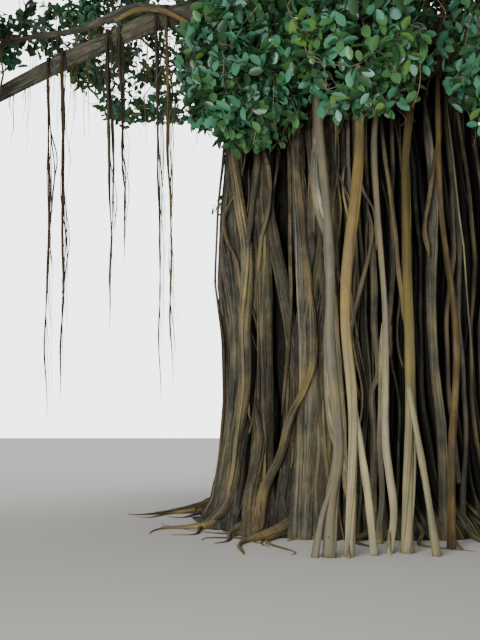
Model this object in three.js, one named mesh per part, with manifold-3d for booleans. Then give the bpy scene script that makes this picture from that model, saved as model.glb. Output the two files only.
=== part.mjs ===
// A banyan: a trunk of fused aerial roots, prop roots that stand round it, boughs,
// roots that hang free from the left bough, and masses of foliage.
// Millimetres, +Z up. The origin is in the middle of the trunk's flat cut at ground level.
// -Y faces a person who stands in front of the tree, and +X is to that person's right.
// A place is often given as an angle round the trunk, in degrees from +X, and a distance from its axis.
import * as THREE from "three";
import { mergeVertices } from "three/addons/utils/BufferGeometryUtils.js";
import Module from "manifold-3d";

const wasm = await Module();
wasm.setup();

// Driving dimensions

const CLEARANCE = 0.6; // from a piece to the one that carries it, along a radius
const AIR = 25; // the least room between a leaf or twig and a limb that it passes

const TRUNK = {
  // height above the ground and mean radius: the flare, the waist, the bulge and the fork
  outline: [
    [0, 3080],
    [350, 2880],
    [1250, 2740],
    [2300, 2660],
    [3500, 2700],
    [4700, 2860],
    [6300, 2810],
    [7800, 2680],
    [9000, 2300],
    [9900, 1750],
    [10500, 1150],
    [10800, 700],
  ],
  squareness: 2.5, // 2 is a round section, more is squarer
  ribs: 24, // fused roots that show as ribs round the trunk
  ribDepth: 210,
  sides: 78,
};

const SURFACE_ROOTS = {
  angles: [-150, -134, -121, -58, -16, 34, 82, 126, 172],
  start: 2550, // where each leaves the trunk, out from the axis
  startHeight: 430,
  end: 4750,
  radii: [125, 40],
};

// Each bough: its angle and height where it leaves the trunk, its angle, distance and height at the tip,
// the height of its arch, and its radius at root and tip.
const BOUGHS = {
  left: { from: [-158, 9750], to: [-165, 7500, 7900], arch: 10450, radii: [280, 110] },
  front_left: { from: [-104, 9150], to: [-117, 6100, 9750], arch: 10200, radii: [370, 120] },
  front_right: { from: [-78, 9050], to: [-71, 6100, 8750], arch: 9650, radii: [370, 120] },
  right_front: { from: [-34, 9100], to: [-30, 6200, 8600], arch: 9800, radii: [380, 125] },
  right: { from: [10, 9000], to: [12, 6000, 8700], arch: 9600, radii: [360, 120] },
  right_back: { from: [50, 9150], to: [52, 6200, 8800], arch: 9900, radii: [390, 125] },
  back: { from: [94, 9000], to: [89, 6100, 8700], arch: 9650, radii: [370, 120] },
  left_back: { from: [140, 9300], to: [140, 5000, 11900], arch: 10900, radii: [350, 125] },
  upper_front_left: { from: [-126, 10150], to: [-130, 3300, 11900], arch: 11500, radii: [250, 115] },
  upper_front_right: { from: [-40, 10150], to: [-45, 3300, 11900], arch: 11500, radii: [250, 115] },
  upper_back_right: { from: [44, 10150], to: [42, 3300, 11800], arch: 11400, radii: [250, 115] },
  upper_back_left: { from: [122, 10150], to: [124, 3000, 12300], arch: 11600, radii: [250, 115] },
};
const LEADER = { height: 12700, sway: 220, radii: [330, 130] };
const SIDE_BOUGH = {
  // leaves the left bough this far out, and runs nearly level to its own mass
  along: 3700,
  to: [-175, 7000, 10150],
  rise: 240,
  radii: [95, 55],
};

// Each prop root, from the ground up: foot, points on the way, the bough it hangs from and how far out,
// its radius at foot and top, and a second leg where it has one.
const PROP_ROOTS = {
  pale: {
    way: [
      [-910, -4450, 0],
      [-790, -4300, 1950],
      [-800, -4200, 3250],
      [-590, -4010, 5300],
      [-490, -3840, 6300],
      [-480, -3740, 7100],
    ],
    bough: "front_left",
    along: 3900,
    radii: [60, 88],
    leg: { way: [[-560, -4350, 0], [-640, -4310, 1050]], joins: [-795, -4280, 2250], radii: [52, 46] },
  },
  olive: {
    way: [[-70, -4150, 0], [0, -4100, 1000], [70, -4050, 2050], [250, -3800, 4400], [400, -3450, 6550]],
    bough: "front_right",
    along: 3560,
    radii: [80, 50],
    leg: { way: [[260, -4400, 0], [190, -4250, 1000]], joins: [80, -4060, 2250], radii: [50, 42] },
  },
  grey: {
    way: [[-320, -4180, 0], [-190, -3950, 500], [-235, -3800, 1500], [-60, -3520, 3400], [-120, -3380, 6550]],
    bough: "front_right",
    along: 3150,
    radii: [50, 42],
  },
  russet: {
    way: [[630, -3850, 0], [760, -3700, 1200], [960, -3560, 3350], [900, -3480, 6850]],
    bough: "front_right",
    along: 3980,
    radii: [52, 36],
  },
  leaning: {
    way: [
      [-1180, -4480, 0],
      [-1100, -4280, 700],
      [-950, -4060, 1300],
      [-1010, -3730, 3000],
      [-930, -3450, 4750],
    ],
    bough: "front_left",
    along: 3250,
    radii: [76, 64],
    leg: { way: [[-1370, -4500, 0], [-1250, -4400, 500]], joins: [-1060, -4220, 950], radii: [45, 42] },
  },
};
// The prop roots round the sides and back stand under their boughs: bough, foot's distance, how far the foot
// is turned from the bough, distance along the bough, radius.
const PLAIN_PROP_ROOTS = {
  right_front_a: ["right_front", 4250, -5, 3300, 90],
  right_front_b: ["right_front", 4500, 6, 3900, 65],
  right: ["right", 4150, 4, 3500, 100],
  right_back: ["right_back", 4300, -6, 3600, 85],
  back_a: ["back", 4100, -6, 3300, 95],
  back_b: ["back", 4450, 5, 3850, 65],
  left_back: ["back", 4150, 22, 3050, 80],
};
const PROP_FLARE = 1.35; // how much wider a plain prop root is at its foot

// The roots that hang free from the left bough: how far out, height of the lower end, radius.
const HANGING_ROOTS = {
  a: [6330, 1850, 34],
  b: [6060, 2190, 40],
  c: [5240, 3550, 42],
  d: [5010, 4850, 36],
  e: [4270, 2120, 30],
  f: [4060, 2530, 36],
};
const HANGING_LEAN = 250; // how much nearer to the trunk the lower end is than the upper

// Each mass of foliage: angle, distance and height of its middle, and its radii outwards, round and up.
const MASSES = {
  left: { at: [-161, 9350, 8350], radii: [2500, 3800, 2450], bough: "left" },
  front_left: { at: [-119, 8300, 10200], radii: [3400, 4400, 2350], bough: "front_left" },
  front_right: { at: [-73, 8350, 9100], radii: [3500, 4200, 2950], bough: "front_right" },
  right_front: { at: [-29, 8400, 9200], radii: [3500, 4200, 3000], bough: "right_front" },
  right: { at: [12, 8200, 9050], radii: [3500, 4200, 2950], bough: "right" },
  right_back: { at: [52, 8400, 9250], radii: [3500, 4200, 3050], bough: "right_back" },
  back: { at: [89, 8300, 9300], radii: [3500, 3900, 2900], bough: "back" },
  left_back: { at: [140, 6900, 13000], radii: [3300, 4000, 2000], bough: "left_back" },
  left_side: { at: [-176, 8900, 10950], radii: [2700, 2400, 1500], bough: "left_side" },
  upper_front_left: { at: [-133, 4700, 12400], radii: [3700, 4100, 2450], bough: "upper_front_left" },
  upper_front_right: { at: [-46, 4700, 12300], radii: [3700, 4100, 2450], bough: "upper_front_right" },
  upper_back_right: { at: [42, 4700, 12250], radii: [3700, 4100, 2450], bough: "upper_back_right" },
  upper_back_left: { at: [122, 4200, 12900], radii: [3500, 3800, 2100], bough: "upper_back_left" },
  top: { at: [60, 350, 14050], radii: [3000, 3000, 1950], bough: "leader" },
};
const SKIRT = {
  // the low masses close round the trunk, each on a stem of its own from the trunk: angle and distance
  at: [[-123, 4200], [-97, 4750], [-67, 4750], [-42, 4350], [-9, 4150], [34, 4150], [71, 4200], [107, 4250]],
  height: 7550,
  radii: [1350, 1250, 1600],
  stemFrom: 2100,
  stemHeight: 8200,
  stemRadius: 95,
  stemShort: 500, // the stem ends this far in from the middle of its mass
  stemDrop: 350, // and this far above it
};

const FOLIAGE = {
  forks: [[4, 0.22], [8, 0.66]], // how many, and how far out they lie as a share of the mass's radii
  leaves: 32,
  leafLength: 2000,
  leafShare: 0.86, // a leaf's width over its length
  widest: 0.52, // where a leaf is widest, as a share of its length
  keel: 0.05, // a leaf's depth over its length
  twigRadius: 26, // under one leaf
  pipe: 0.42, // how a twig's radius grows with the leaves that it carries
  thrift: 0.4, // how much a long way back to the stem counts when a twig picks where to start
  jitter: 0.3,
};
const SKIRT_FOLIAGE = {
  ...FOLIAGE,
  forks: [[2, 0.2], [5, 0.62]],
  leaves: 15,
  leafLength: 1050,
  keel: 0.06,
  twigRadius: 20,
};
const LEAF_PLACES = [0.3, 0.55, 0.8]; // along each stretch of twig
const NECK = 0.15; // the share of a leaf next to its root that may touch other twigs
const STEM_GAP = 0.3; // from a bough's tip to the stem that meets it
const SPACE_GAP = 12; // half the least room between two masses

const COLOURS = {
  trunk: { color: "#6e5f49", roughness: 0.9 },
  bough: { color: "#716a5c", roughness: 0.88 },
  prop_pale: { color: "#a8966a", roughness: 0.75 },
  prop_plain: { color: "#857a62", roughness: 0.82 },
  hanging: { color: "#6f5a3d", roughness: 0.85 },
  foliage: { color: "#3c6b42", roughness: 0.5 },
};

// Points and directions

const UP = new THREE.Vector3(0, 0, 1);
const EAST = new THREE.Vector3(1, 0, 0);
const GOLDEN = Math.PI * (3 - Math.sqrt(5));
const radians = THREE.MathUtils.degToRad;
const lerp = THREE.MathUtils.lerp;

function polar(degrees, distance, height) {
  const turn = radians(degrees);
  return new THREE.Vector3(distance * Math.cos(turn), distance * Math.sin(turn), height);
}

// A repeatable number from 0 to 1 for each seed.
function chance(seed) {
  const x = Math.sin(seed * 12.9898 + 78.233) * 43758.5453;
  return x - Math.floor(x);
}

// Evenly spread directions, by the golden angle.
function lattice(count) {
  return Array.from({ length: count }, (_, i) => {
    const z = 1 - (2 * i + 1) / count;
    const flat = Math.sqrt(1 - z * z);
    return new THREE.Vector3(flat * Math.cos(i * GOLDEN), flat * Math.sin(i * GOLDEN), z);
  });
}

// Solids

// A closed solid through rings of points, each counterclockwise about the way they run.
// A ring of one point is a tip, one of three is closed by its own triangle, and a larger one by a fan.
function loft(rings) {
  const points = [];
  const faces = [];
  const starts = rings.map((ring) => points.push(...ring) - ring.length);
  for (let i = 0; i + 1 < rings.length; i++) {
    const [near, far] = [rings[i].length, rings[i + 1].length];
    const count = Math.max(near, far);
    for (let k = 0; k < count; k++) {
      const next = (k + 1) % count;
      const a = starts[i] + (k % near);
      const b = starts[i] + (next % near);
      const c = starts[i + 1] + (next % far);
      const d = starts[i + 1] + (k % far);
      if (near > 1) faces.push(a, b, c);
      if (far > 1) faces.push(a, c, d);
    }
  }
  const cap = (ring, start, reversed) => {
    const face = (a, b, c) => faces.push(...(reversed ? [a, c, b] : [a, b, c]));
    if (ring.length === 3) face(start, start + 1, start + 2);
    if (ring.length <= 3) return;
    const centre = ring.reduce((sum, p) => sum.add(p), new THREE.Vector3()).divideScalar(ring.length);
    const middle = points.push(centre) - 1;
    ring.forEach((_, k) => face(middle, start + k, start + ((k + 1) % ring.length)));
  };
  cap(rings[0], starts[0], true);
  cap(rings.at(-1), starts.at(-1), false);
  const geometry = new THREE.BufferGeometry().setFromPoints(points);
  geometry.setIndex(faces);
  return geometry;
}

function solidOf(geometry) {
  const bare = geometry.clone();
  bare.deleteAttribute("normal");
  bare.deleteAttribute("uv");
  const merged = mergeVertices(bare, 1e-3);
  return new wasm.Manifold(
    new wasm.Mesh({
      numProp: 3,
      vertProperties: merged.attributes.position.array,
      triVerts: new Uint32Array(merged.index.array),
    }),
  );
}

function geometryOf(solid) {
  const mesh = solid.getMesh();
  const geometry = new THREE.BufferGeometry();
  geometry.setAttribute("position", new THREE.BufferAttribute(mesh.vertProperties, 3));
  geometry.setIndex(new THREE.BufferAttribute(mesh.triVerts, 1));
  return geometry;
}

// The largest body of a solid: loose scraps are dropped, and sealed hollows are filled.
function largestBody(solid) {
  return solid.decompose().reduce((best, body) => (body.volume() > best.volume() ? body : best));
}

function cutAtGround(solid) {
  const deep = 2000;
  const wide = 20000;
  const ground = new THREE.BoxGeometry(wide, wide, deep).translate(0, 0, -deep / 2);
  return solid.subtract(solidOf(ground));
}

// A limb along a smooth path, with its radius from radii[0] to radii[1], made wider all over by extra.
function limb(path, radii, { sides = 7, steps = 5, extra = 0 } = {}) {
  const { normals, binormals } = path.computeFrenetFrames(steps);
  const rings = [];
  for (let i = 0; i <= steps; i++) {
    const centre = path.getPointAt(i / steps);
    const radius = lerp(radii[0], radii[1], i / steps) + extra;
    rings.push(
      Array.from({ length: sides }, (_, k) => {
        const turn = (2 * Math.PI * k) / sides;
        return centre
          .clone()
          .addScaledVector(normals[i], radius * Math.cos(turn))
          .addScaledVector(binormals[i], radius * Math.sin(turn));
      }),
    );
  }
  return solidOf(loft(rings));
}

function smoothPath(points) {
  return new THREE.CatmullRomCurve3(points, false, "centripetal");
}

// The point where a path is a given distance out from the trunk's axis.
function pointOutAt(path, distance) {
  const fine = path.getSpacedPoints(200);
  return fine.find((p) => Math.hypot(p.x, p.y) >= distance);
}

// Trunk

// The fused roots make rounded ribs with sharp grooves between, which wander as they climb.
function trunkPoint(turn, height, mean, extra) {
  const n = TRUNK.squareness;
  const square = (Math.abs(Math.cos(turn)) ** n + Math.abs(Math.sin(turn)) ** n) ** (-1 / n);
  const wander = 0.9 * Math.sin(height / 2100 + 2 * turn) + 0.5 * Math.sin(height / 900 + 5 * turn);
  const rib = Math.abs(Math.sin((TRUNK.ribs / 2) * turn + wander)) ** 0.5;
  const depth = TRUNK.ribDepth * (0.7 + 0.3 * Math.sin(3 * turn + 1)) * (mean / TRUNK.outline[0][1]);
  const radius = mean * square - depth * (1 - rib) + extra;
  return new THREE.Vector3(radius * Math.cos(turn), radius * Math.sin(turn), height);
}

function surfaceRoot(angle, index, extra) {
  const { start, startHeight, end, radii } = SURFACE_ROOTS;
  const reach = end * (0.86 + 0.2 * chance(index + 3));
  const sway = 14 * (chance(index + 11) - 0.5);
  const path = smoothPath([
    polar(angle, start, startHeight),
    polar(angle + sway * 0.2, 3250, 130),
    polar(angle + sway, lerp(3250, reach, 0.5), 42),
    polar(angle - sway * 0.3, reach, 8),
  ]);
  return limb(path, radii, { sides: 5, steps: 4, extra });
}

// The trunk, or with extra, the room that has to be clear round it.
function trunkSolid(extra = 0) {
  const rings = TRUNK.outline.map(([height, mean], i) => {
    const lift = i === TRUNK.outline.length - 1 ? extra : 0;
    return Array.from({ length: TRUNK.sides }, (_, k) =>
      trunkPoint((2 * Math.PI * k) / TRUNK.sides, height + lift, mean, extra),
    );
  });
  const roots = SURFACE_ROOTS.angles.map((angle, i) => surfaceRoot(angle, i, extra));
  return cutAtGround(roots.reduce((sum, root) => sum.add(root), solidOf(loft(rings))));
}

// Boughs

// Out of the trunk, up to the crest of the arch, and over and down to the tip.
function boughPath({ from, to, arch }) {
  const [angle, height] = from;
  const [tipAngle, reach, tipHeight] = to;
  const inside = 450;
  const crest = reach * 0.45;
  return smoothPath([
    polar(angle, inside, height),
    polar(lerp(angle, tipAngle, 0.2), lerp(inside, crest, 0.5), lerp(height, arch, 0.62)),
    polar(lerp(angle, tipAngle, 0.45), crest, arch),
    polar(lerp(angle, tipAngle, 0.75), lerp(crest, reach, 0.52), lerp(arch, tipHeight, 0.46)),
    polar(tipAngle, reach, tipHeight),
  ]);
}

function leaderPath() {
  const { height, sway } = LEADER;
  const base = TRUNK.outline.at(-2)[0] - 400;
  return smoothPath([
    new THREE.Vector3(0, 0, base),
    new THREE.Vector3(sway, sway / 2, lerp(base, height, 0.55)),
    new THREE.Vector3(sway / 3, sway, height),
  ]);
}

function sideBoughPath(leftBough) {
  const start = pointOutAt(leftBough, SIDE_BOUGH.along);
  const end = polar(...SIDE_BOUGH.to);
  return smoothPath([
    start,
    start.clone().lerp(end, 0.3).setZ(start.z + SIDE_BOUGH.rise),
    start.clone().lerp(end, 0.65).setZ(end.z + SIDE_BOUGH.rise / 3),
    end,
  ]);
}

// Prop roots and hanging roots

function propRoot({ way, bough, along, radii, leg }, boughPaths, options = {}) {
  const fromBelow = ([foot, ...rest], end) =>
    smoothPath([new THREE.Vector3(foot[0], foot[1], -60), ...rest.map((p) => new THREE.Vector3(...p)), end]);
  const top = pointOutAt(boughPaths[bough], along);
  const main = limb(fromBelow(way, top), radii, { sides: 6, steps: 7, ...options });
  if (!leg) return cutAtGround(main);
  const legPath = fromBelow(leg.way, new THREE.Vector3(...leg.joins));
  return cutAtGround(main.add(limb(legPath, leg.radii, { sides: 5, steps: 3, ...options })));
}

// A plain prop root leans in a little as it climbs to its bough.
function plainPropRoot([bough, footDistance, turned, along, radius], index) {
  const [angle] = BOUGHS[bough].from;
  const waist = lerp(footDistance, along, 0.35);
  return {
    bough,
    along,
    radii: [radius * PROP_FLARE, radius * 0.8],
    way: [
      polar(angle + turned, footDistance, 0).toArray(),
      polar(angle + turned + 2 * (chance(index + 21) - 0.5), waist + 60, 2600).toArray(),
      polar(angle + turned * 0.6, lerp(waist, along, 0.4), 5600).toArray(),
    ],
  };
}

function hangingRoot([along, lowEnd, radius], boughPaths, options = {}) {
  const top = pointOutAt(boughPaths.left, along);
  const inward = new THREE.Vector3(-top.x, -top.y, 0).setLength(HANGING_LEAN);
  const low = top.clone().add(inward).setZ(lowEnd);
  const swing = new THREE.Vector3(0, 0, 1).cross(inward).setLength(radius);
  const path = smoothPath([
    top,
    top.clone().lerp(low, 0.33).add(swing),
    top.clone().lerp(low, 0.67).sub(swing),
    low,
  ]);
  return limb(path, [radius * 1.25, radius * 0.55], { sides: 5, steps: 4, ...options });
}

// Foliage

// A place in a mass: a direction from its middle, scaled by its radii, turned to the mass's angle.
function placeIn(mass, direction, depth) {
  const [angle] = mass.at;
  const [outward, round, up] = mass.radii;
  return new THREE.Vector3(direction.x * outward, direction.y * round, direction.z * up)
    .multiplyScalar(depth)
    .applyAxisAngle(UP, radians(angle))
    .add(mass.middle);
}

// Inside a mass's own space: nearer to its middle than to any other's.
function inOwnSpace(point, mass, masses) {
  return masses.every((other) => {
    if (other === mass) return true;
    const between = other.middle.clone().sub(mass.middle);
    const half = between.length() / 2;
    return point.clone().sub(mass.middle).dot(between.normalize()) <= half - SPACE_GAP;
  });
}

// Three points round a path: one at each side and a keel that points away from face.
function triangle(centre, along, face, { wide, raised, deep }) {
  const side = new THREE.Vector3().crossVectors(along, face);
  return [
    centre.clone().addScaledVector(face, -deep),
    centre.clone().addScaledVector(side, -wide).addScaledVector(face, raised),
    centre.clone().addScaledVector(side, wide).addScaledVector(face, raised),
  ];
}

// The direction nearest to wanted that is square to along, with another to fall back on where it has none.
function across(wanted, along) {
  const square = (v) => v.clone().addScaledVector(along, -v.dot(along));
  return [wanted, UP, EAST].map(square).find((v) => v.length() > 0.15).normalize();
}

// A leaf stands for a spray. From its root it widens to three points, two at the sides and the keel,
// and closes to its tip. Its face is turned outwards.
function leafRings(root, tip, outward, { leafShare, widest, keel }) {
  const along = tip.clone().sub(root);
  const length = along.length();
  along.normalize();
  const middle = root.clone().addScaledVector(along, length * widest);
  const shape = { wide: (length * leafShare) / 2, raised: 0, deep: length * keel };
  const face = across(outward, along);
  return { face, tip, rings: [triangle(middle, along, face, shape), [tip.clone()]] };
}

// A three-sided twig through nodes, with its radius at each, and a leaf beyond its last node
// where it has one.
function twigSolid(nodes, radii, firstAlong, endLeaf) {
  const last = nodes.length - 1;
  const tangents = nodes.map((node, i) => {
    if (i === 0 && firstAlong) return firstAlong;
    const ahead = i < last ? nodes[i + 1].at : (endLeaf?.tip ?? node.at);
    const behind = i > 0 ? nodes[i - 1].at : node.at;
    return ahead.clone().sub(behind).normalize();
  });
  let face = endLeaf?.face ?? UP;
  const rings = [];
  for (let i = last; i >= 0; i--) {
    face = across(face, tangents[i]);
    const shape = { wide: radii[i] * 0.87, raised: radii[i] / 2, deep: radii[i] };
    rings.unshift(triangle(nodes[i].at, tangents[i], face, shape));
  }
  return solidOf(loft([...rings, ...(endLeaf?.rings ?? [])]));
}

// Grows from start to each point in turn, nearest first, from the grown node that gives the best way back.
function grow(start, points, thrift, isClear) {
  const nodes = [{ at: start, way: 0, parent: null, children: [], leaves: 0 }];
  const waiting = [...points].sort((p, q) => p.distanceTo(start) - q.distanceTo(start));
  for (const at of waiting) {
    const cost = (node) => node.way * thrift + node.at.distanceTo(at);
    const parent = nodes.reduce((best, node) => (cost(node) < cost(best) ? node : best));
    if (!isClear(parent.at, at)) continue;
    const node = { at, way: parent.way + parent.at.distanceTo(at), parent, children: [], leaves: 0 };
    parent.children.push(node);
    nodes.push(node);
  }
  return nodes;
}

function addLeaves(node, count) {
  for (let n = node; n; n = n.parent) n.leaves += count;
}

// One mass: a stem, twigs to forks within the mass, and leaves from the twigs to its outline.
function massSolid(mass, masses, limbRoom) {
  const { forks, leaves, leafLength, twigRadius, pipe, thrift, jitter } = mass.foliage;
  const stray = (direction, seed) =>
    new THREE.Vector3(chance(seed), chance(seed + 0.3), chance(seed + 0.6))
      .subScalar(0.5)
      .multiplyScalar(jitter)
      .add(direction)
      .normalize();
  const isFree = (geometry) => {
    const corners = geometry.attributes.position;
    for (let i = 0; i < corners.count; i++) {
      if (!inOwnSpace(new THREE.Vector3().fromBufferAttribute(corners, i), mass, masses)) return false;
    }
    return solidOf(geometry).intersect(limbRoom).isEmpty();
  };
  const stretch = (a, b, neck) => {
    const along = b.clone().sub(a);
    const start = along.clone().setLength(neck).add(a);
    along.normalize();
    const shape = { wide: 2 * twigRadius, raised: twigRadius, deep: 2 * twigRadius };
    return loft([start, b].map((p) => triangle(p, along, across(UP, along), shape)));
  };
  const twigIsClear = (a, b) => isFree(stretch(a, b, 3 * twigRadius));

  const stemEnd = mass.stem.start.clone().addScaledVector(mass.stem.along, mass.stem.length);
  const forkPoints = forks
    .flatMap(([count, depth], level) =>
      lattice(count).map((d, i) => placeIn(mass, stray(d, mass.seed + i + 20 * level), depth)),
    )
    .filter((p) => p.distanceTo(stemEnd) > 12 * twigRadius);
  const nodes = grow(stemEnd, forkPoints, thrift, twigIsClear);

  const tips = lattice(leaves).map((d, i) => placeIn(mass, stray(d, mass.seed + 40 + i), 1));
  const leafTo = (root, tip) => leafRings(root, tip, tip.clone().sub(mass.middle).normalize(), mass.foliage);
  const bladeTo = (root, tip, neck = 0) => {
    const start = tip.clone().sub(root).setLength(neck).add(root);
    return loft([[start], ...leafTo(root, tip).rings]);
  };
  const twigRoom = nodes
    .filter((n) => n.parent)
    .map((n) => solidOf(stretch(n.parent.at, n.at, 0)))
    .reduce((sum, piece) => sum.add(piece));

  // Each twig ends in a leaf of its own, to the nearest tip that is free.
  let blades = null;
  const place = (root, tip) => {
    const blade = solidOf(bladeTo(root, tip));
    blades = blades ? blades.add(blade) : blade;
  };
  const fits = (root, tip) =>
    isFree(bladeTo(root, tip)) &&
    (!blades || solidOf(bladeTo(root, tip)).intersect(blades).isEmpty()) &&
    solidOf(bladeTo(root, tip, NECK * leafLength)).intersect(twigRoom).isEmpty();
  for (const node of nodes.filter((n) => !n.children.length)) {
    const nearest = [...tips].sort((p, q) => p.distanceTo(node.at) - q.distanceTo(node.at)).slice(0, 5);
    const tip = nearest.find((p) => fits(node.at, p));
    if (!tip) continue;
    place(node.at, tip);
    node.endLeaf = leafTo(node.at, tip);
    tips.splice(tips.indexOf(tip), 1);
    addLeaves(node, 1);
  }

  // The other leaves start along the twigs, each from the place whose distance suits it best.
  // A leaf that would leave the mass's space, or touch a limb or another leaf, is skipped.
  const places = nodes
    .filter((n) => n.parent)
    .flatMap((n) => LEAF_PLACES.map((share) => ({ node: n, at: n.parent.at.clone().lerp(n.at, share) })));
  for (const tip of tips) {
    const misfit = (root) => Math.abs(root.at.distanceTo(tip) - leafLength);
    places.sort((p, q) => misfit(p) - misfit(q));
    const root = places.slice(0, 16).find((p) => fits(p.at, tip));
    if (!root) continue;
    place(root.at, tip);
    places.splice(places.indexOf(root), 1);
    addLeaves(root.node, 1);
  }

  // The child that carries most carries on its parent's twig, and the others start twigs of their own.
  const radiusOf = (node) => Math.min(mass.stem.radius, twigRadius * Math.max(1, node.leaves) ** pipe);
  const twigs = [];
  const follow = (row) => {
    const last = row.at(-1);
    const [heir, ...others] = last.children.filter((n) => n.leaves).sort((m, n) => n.leaves - m.leaves);
    for (const other of others) follow([last, other]);
    if (heir) {
      follow([...row, heir]);
      return;
    }
    const radii = row.map((node, i) => radiusOf(row[Math.max(1, i)] ?? node));
    twigs.push([row, radii, last.endLeaf]);
  };
  follow([nodes[0]]);
  const [mainRow, mainRadii, mainLeaf] = twigs.pop();
  const stem = { at: mass.stem.start };
  const main = twigSolid([stem, ...mainRow], [mass.stem.radius, ...mainRadii], mass.stem.along, mainLeaf);
  const side = twigs.map(([row, radii, endLeaf]) => twigSolid(row, radii, null, endLeaf));
  return [...side, ...(blades ? [blades] : [])].reduce((sum, piece) => sum.add(piece), main);
}

// Assembly

const banyan = new THREE.Group();

function addNode(name, solid, look) {
  const material = new THREE.MeshStandardMaterial({ ...COLOURS[look], metalness: 0 });
  const mesh = new THREE.Mesh(geometryOf(solid), material);
  mesh.name = name;
  banyan.add(mesh);
}

const trunkRoom = trunkSolid(CLEARANCE);
addNode("trunk", trunkSolid(), "trunk");

const boughPaths = {};
const boughRadii = { leader: LEADER.radii, left_side: SIDE_BOUGH.radii };
for (const [name, bough] of Object.entries(BOUGHS)) {
  boughPaths[name] = boughPath(bough);
  boughRadii[name] = bough.radii;
}
boughPaths.leader = leaderPath();
boughPaths.left_side = sideBoughPath(boughPaths.left);
const boughSolid = (name, extra = 0) => limb(boughPaths[name], boughRadii[name], { extra });

const limbSolids = [];
for (const name of Object.keys(boughPaths)) {
  const room = name === "left_side" ? trunkRoom.add(boughSolid("left", CLEARANCE)) : trunkRoom;
  const solid = largestBody(boughSolid(name).subtract(room));
  limbSolids.push(boughSolid(name, AIR));
  addNode(`bough_${name}`, solid, "bough");
}

const plain = Object.entries(PLAIN_PROP_ROOTS).map(([name, row], i) => [name, plainPropRoot(row, i)]);
for (const [name, root] of [...Object.entries(PROP_ROOTS), ...plain]) {
  const room = boughSolid(root.bough, CLEARANCE);
  const solid = largestBody(propRoot(root, boughPaths).subtract(room));
  limbSolids.push(propRoot(root, boughPaths, { extra: AIR }));
  addNode(`prop_root_${name}`, solid, name in PROP_ROOTS ? "prop_pale" : "prop_plain");
}

for (const [name, row] of Object.entries(HANGING_ROOTS)) {
  const room = boughSolid("left", CLEARANCE);
  limbSolids.push(hangingRoot(row, boughPaths, { extra: AIR }));
  addNode(`hanging_root_${name}`, largestBody(hangingRoot(row, boughPaths).subtract(room)), "hanging");
}

const limbRoom = limbSolids.reduce((sum, solid) => sum.add(solid), trunkSolid(AIR));

// A mass's stem starts flat on its bough's tip, or runs out of the trunk.
function stemFromBough(name) {
  const path = boughPaths[name];
  const along = path.getTangentAt(1);
  const start = path.getPointAt(1).addScaledVector(along, STEM_GAP);
  return { start, along, length: 420, radius: boughRadii[name][1] * 0.9 };
}

function stemFromTrunk(angle, distance) {
  const start = polar(angle, SKIRT.stemFrom, SKIRT.stemHeight);
  const end = polar(angle, distance - SKIRT.stemShort, SKIRT.height + SKIRT.stemDrop);
  const along = end.clone().sub(start);
  const length = along.length();
  return { start, along: along.normalize(), length, radius: SKIRT.stemRadius };
}

const masses = Object.entries(MASSES).map(([name, mass], i) => ({
  ...mass,
  name: `foliage_${name}`,
  middle: polar(...mass.at),
  foliage: FOLIAGE,
  seed: 100 * (i + 1),
  stem: stemFromBough(mass.bough),
}));
SKIRT.at.forEach(([angle, distance], i) => {
  const at = [angle, distance, SKIRT.height];
  masses.push({
    at,
    radii: SKIRT.radii,
    name: `foliage_skirt_${i + 1}`,
    middle: polar(...at),
    foliage: SKIRT_FOLIAGE,
    seed: 100 * (i + 31),
    stem: stemFromTrunk(angle, distance),
  });
});

for (const mass of masses) {
  addNode(mass.name, largestBody(massSolid(mass, masses, limbRoom).subtract(trunkRoom)), "foliage");
}

export default banyan;
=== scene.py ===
"""A banyan for Blender 4.5: a trunk of fused roots, prop roots round it, boughs, hanging roots and foliage.

Metres, +Z up, with the origin in the middle of the trunk's foot. -Y is the front, and +X is on the right
when the tree is seen from the front. A place is often given as an angle round the trunk, in degrees from
+X, and a distance from its axis. The sizes are those of the solids that the pieces replace.
"""
import math
from collections import namedtuple

import bpy
import numpy as np
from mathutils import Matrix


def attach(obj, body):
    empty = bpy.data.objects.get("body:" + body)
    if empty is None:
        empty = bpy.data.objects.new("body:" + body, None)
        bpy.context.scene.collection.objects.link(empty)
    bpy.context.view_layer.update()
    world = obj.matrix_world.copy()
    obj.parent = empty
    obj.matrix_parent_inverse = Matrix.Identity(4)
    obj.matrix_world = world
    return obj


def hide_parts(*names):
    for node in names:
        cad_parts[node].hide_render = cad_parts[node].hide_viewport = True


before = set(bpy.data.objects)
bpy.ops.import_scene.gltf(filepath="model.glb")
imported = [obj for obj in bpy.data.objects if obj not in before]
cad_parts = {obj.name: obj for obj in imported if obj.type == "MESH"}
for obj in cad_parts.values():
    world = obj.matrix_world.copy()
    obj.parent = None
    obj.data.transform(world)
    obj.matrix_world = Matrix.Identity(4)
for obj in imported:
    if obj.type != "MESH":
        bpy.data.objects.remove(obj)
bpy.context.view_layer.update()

# Camera: at eye height in front of the tree, looking up a little
EYE = (-2.35, -13.3, 1.55)
LOOK_UP = 10.36
LENS = 36.0
FILM = 36.0

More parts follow.
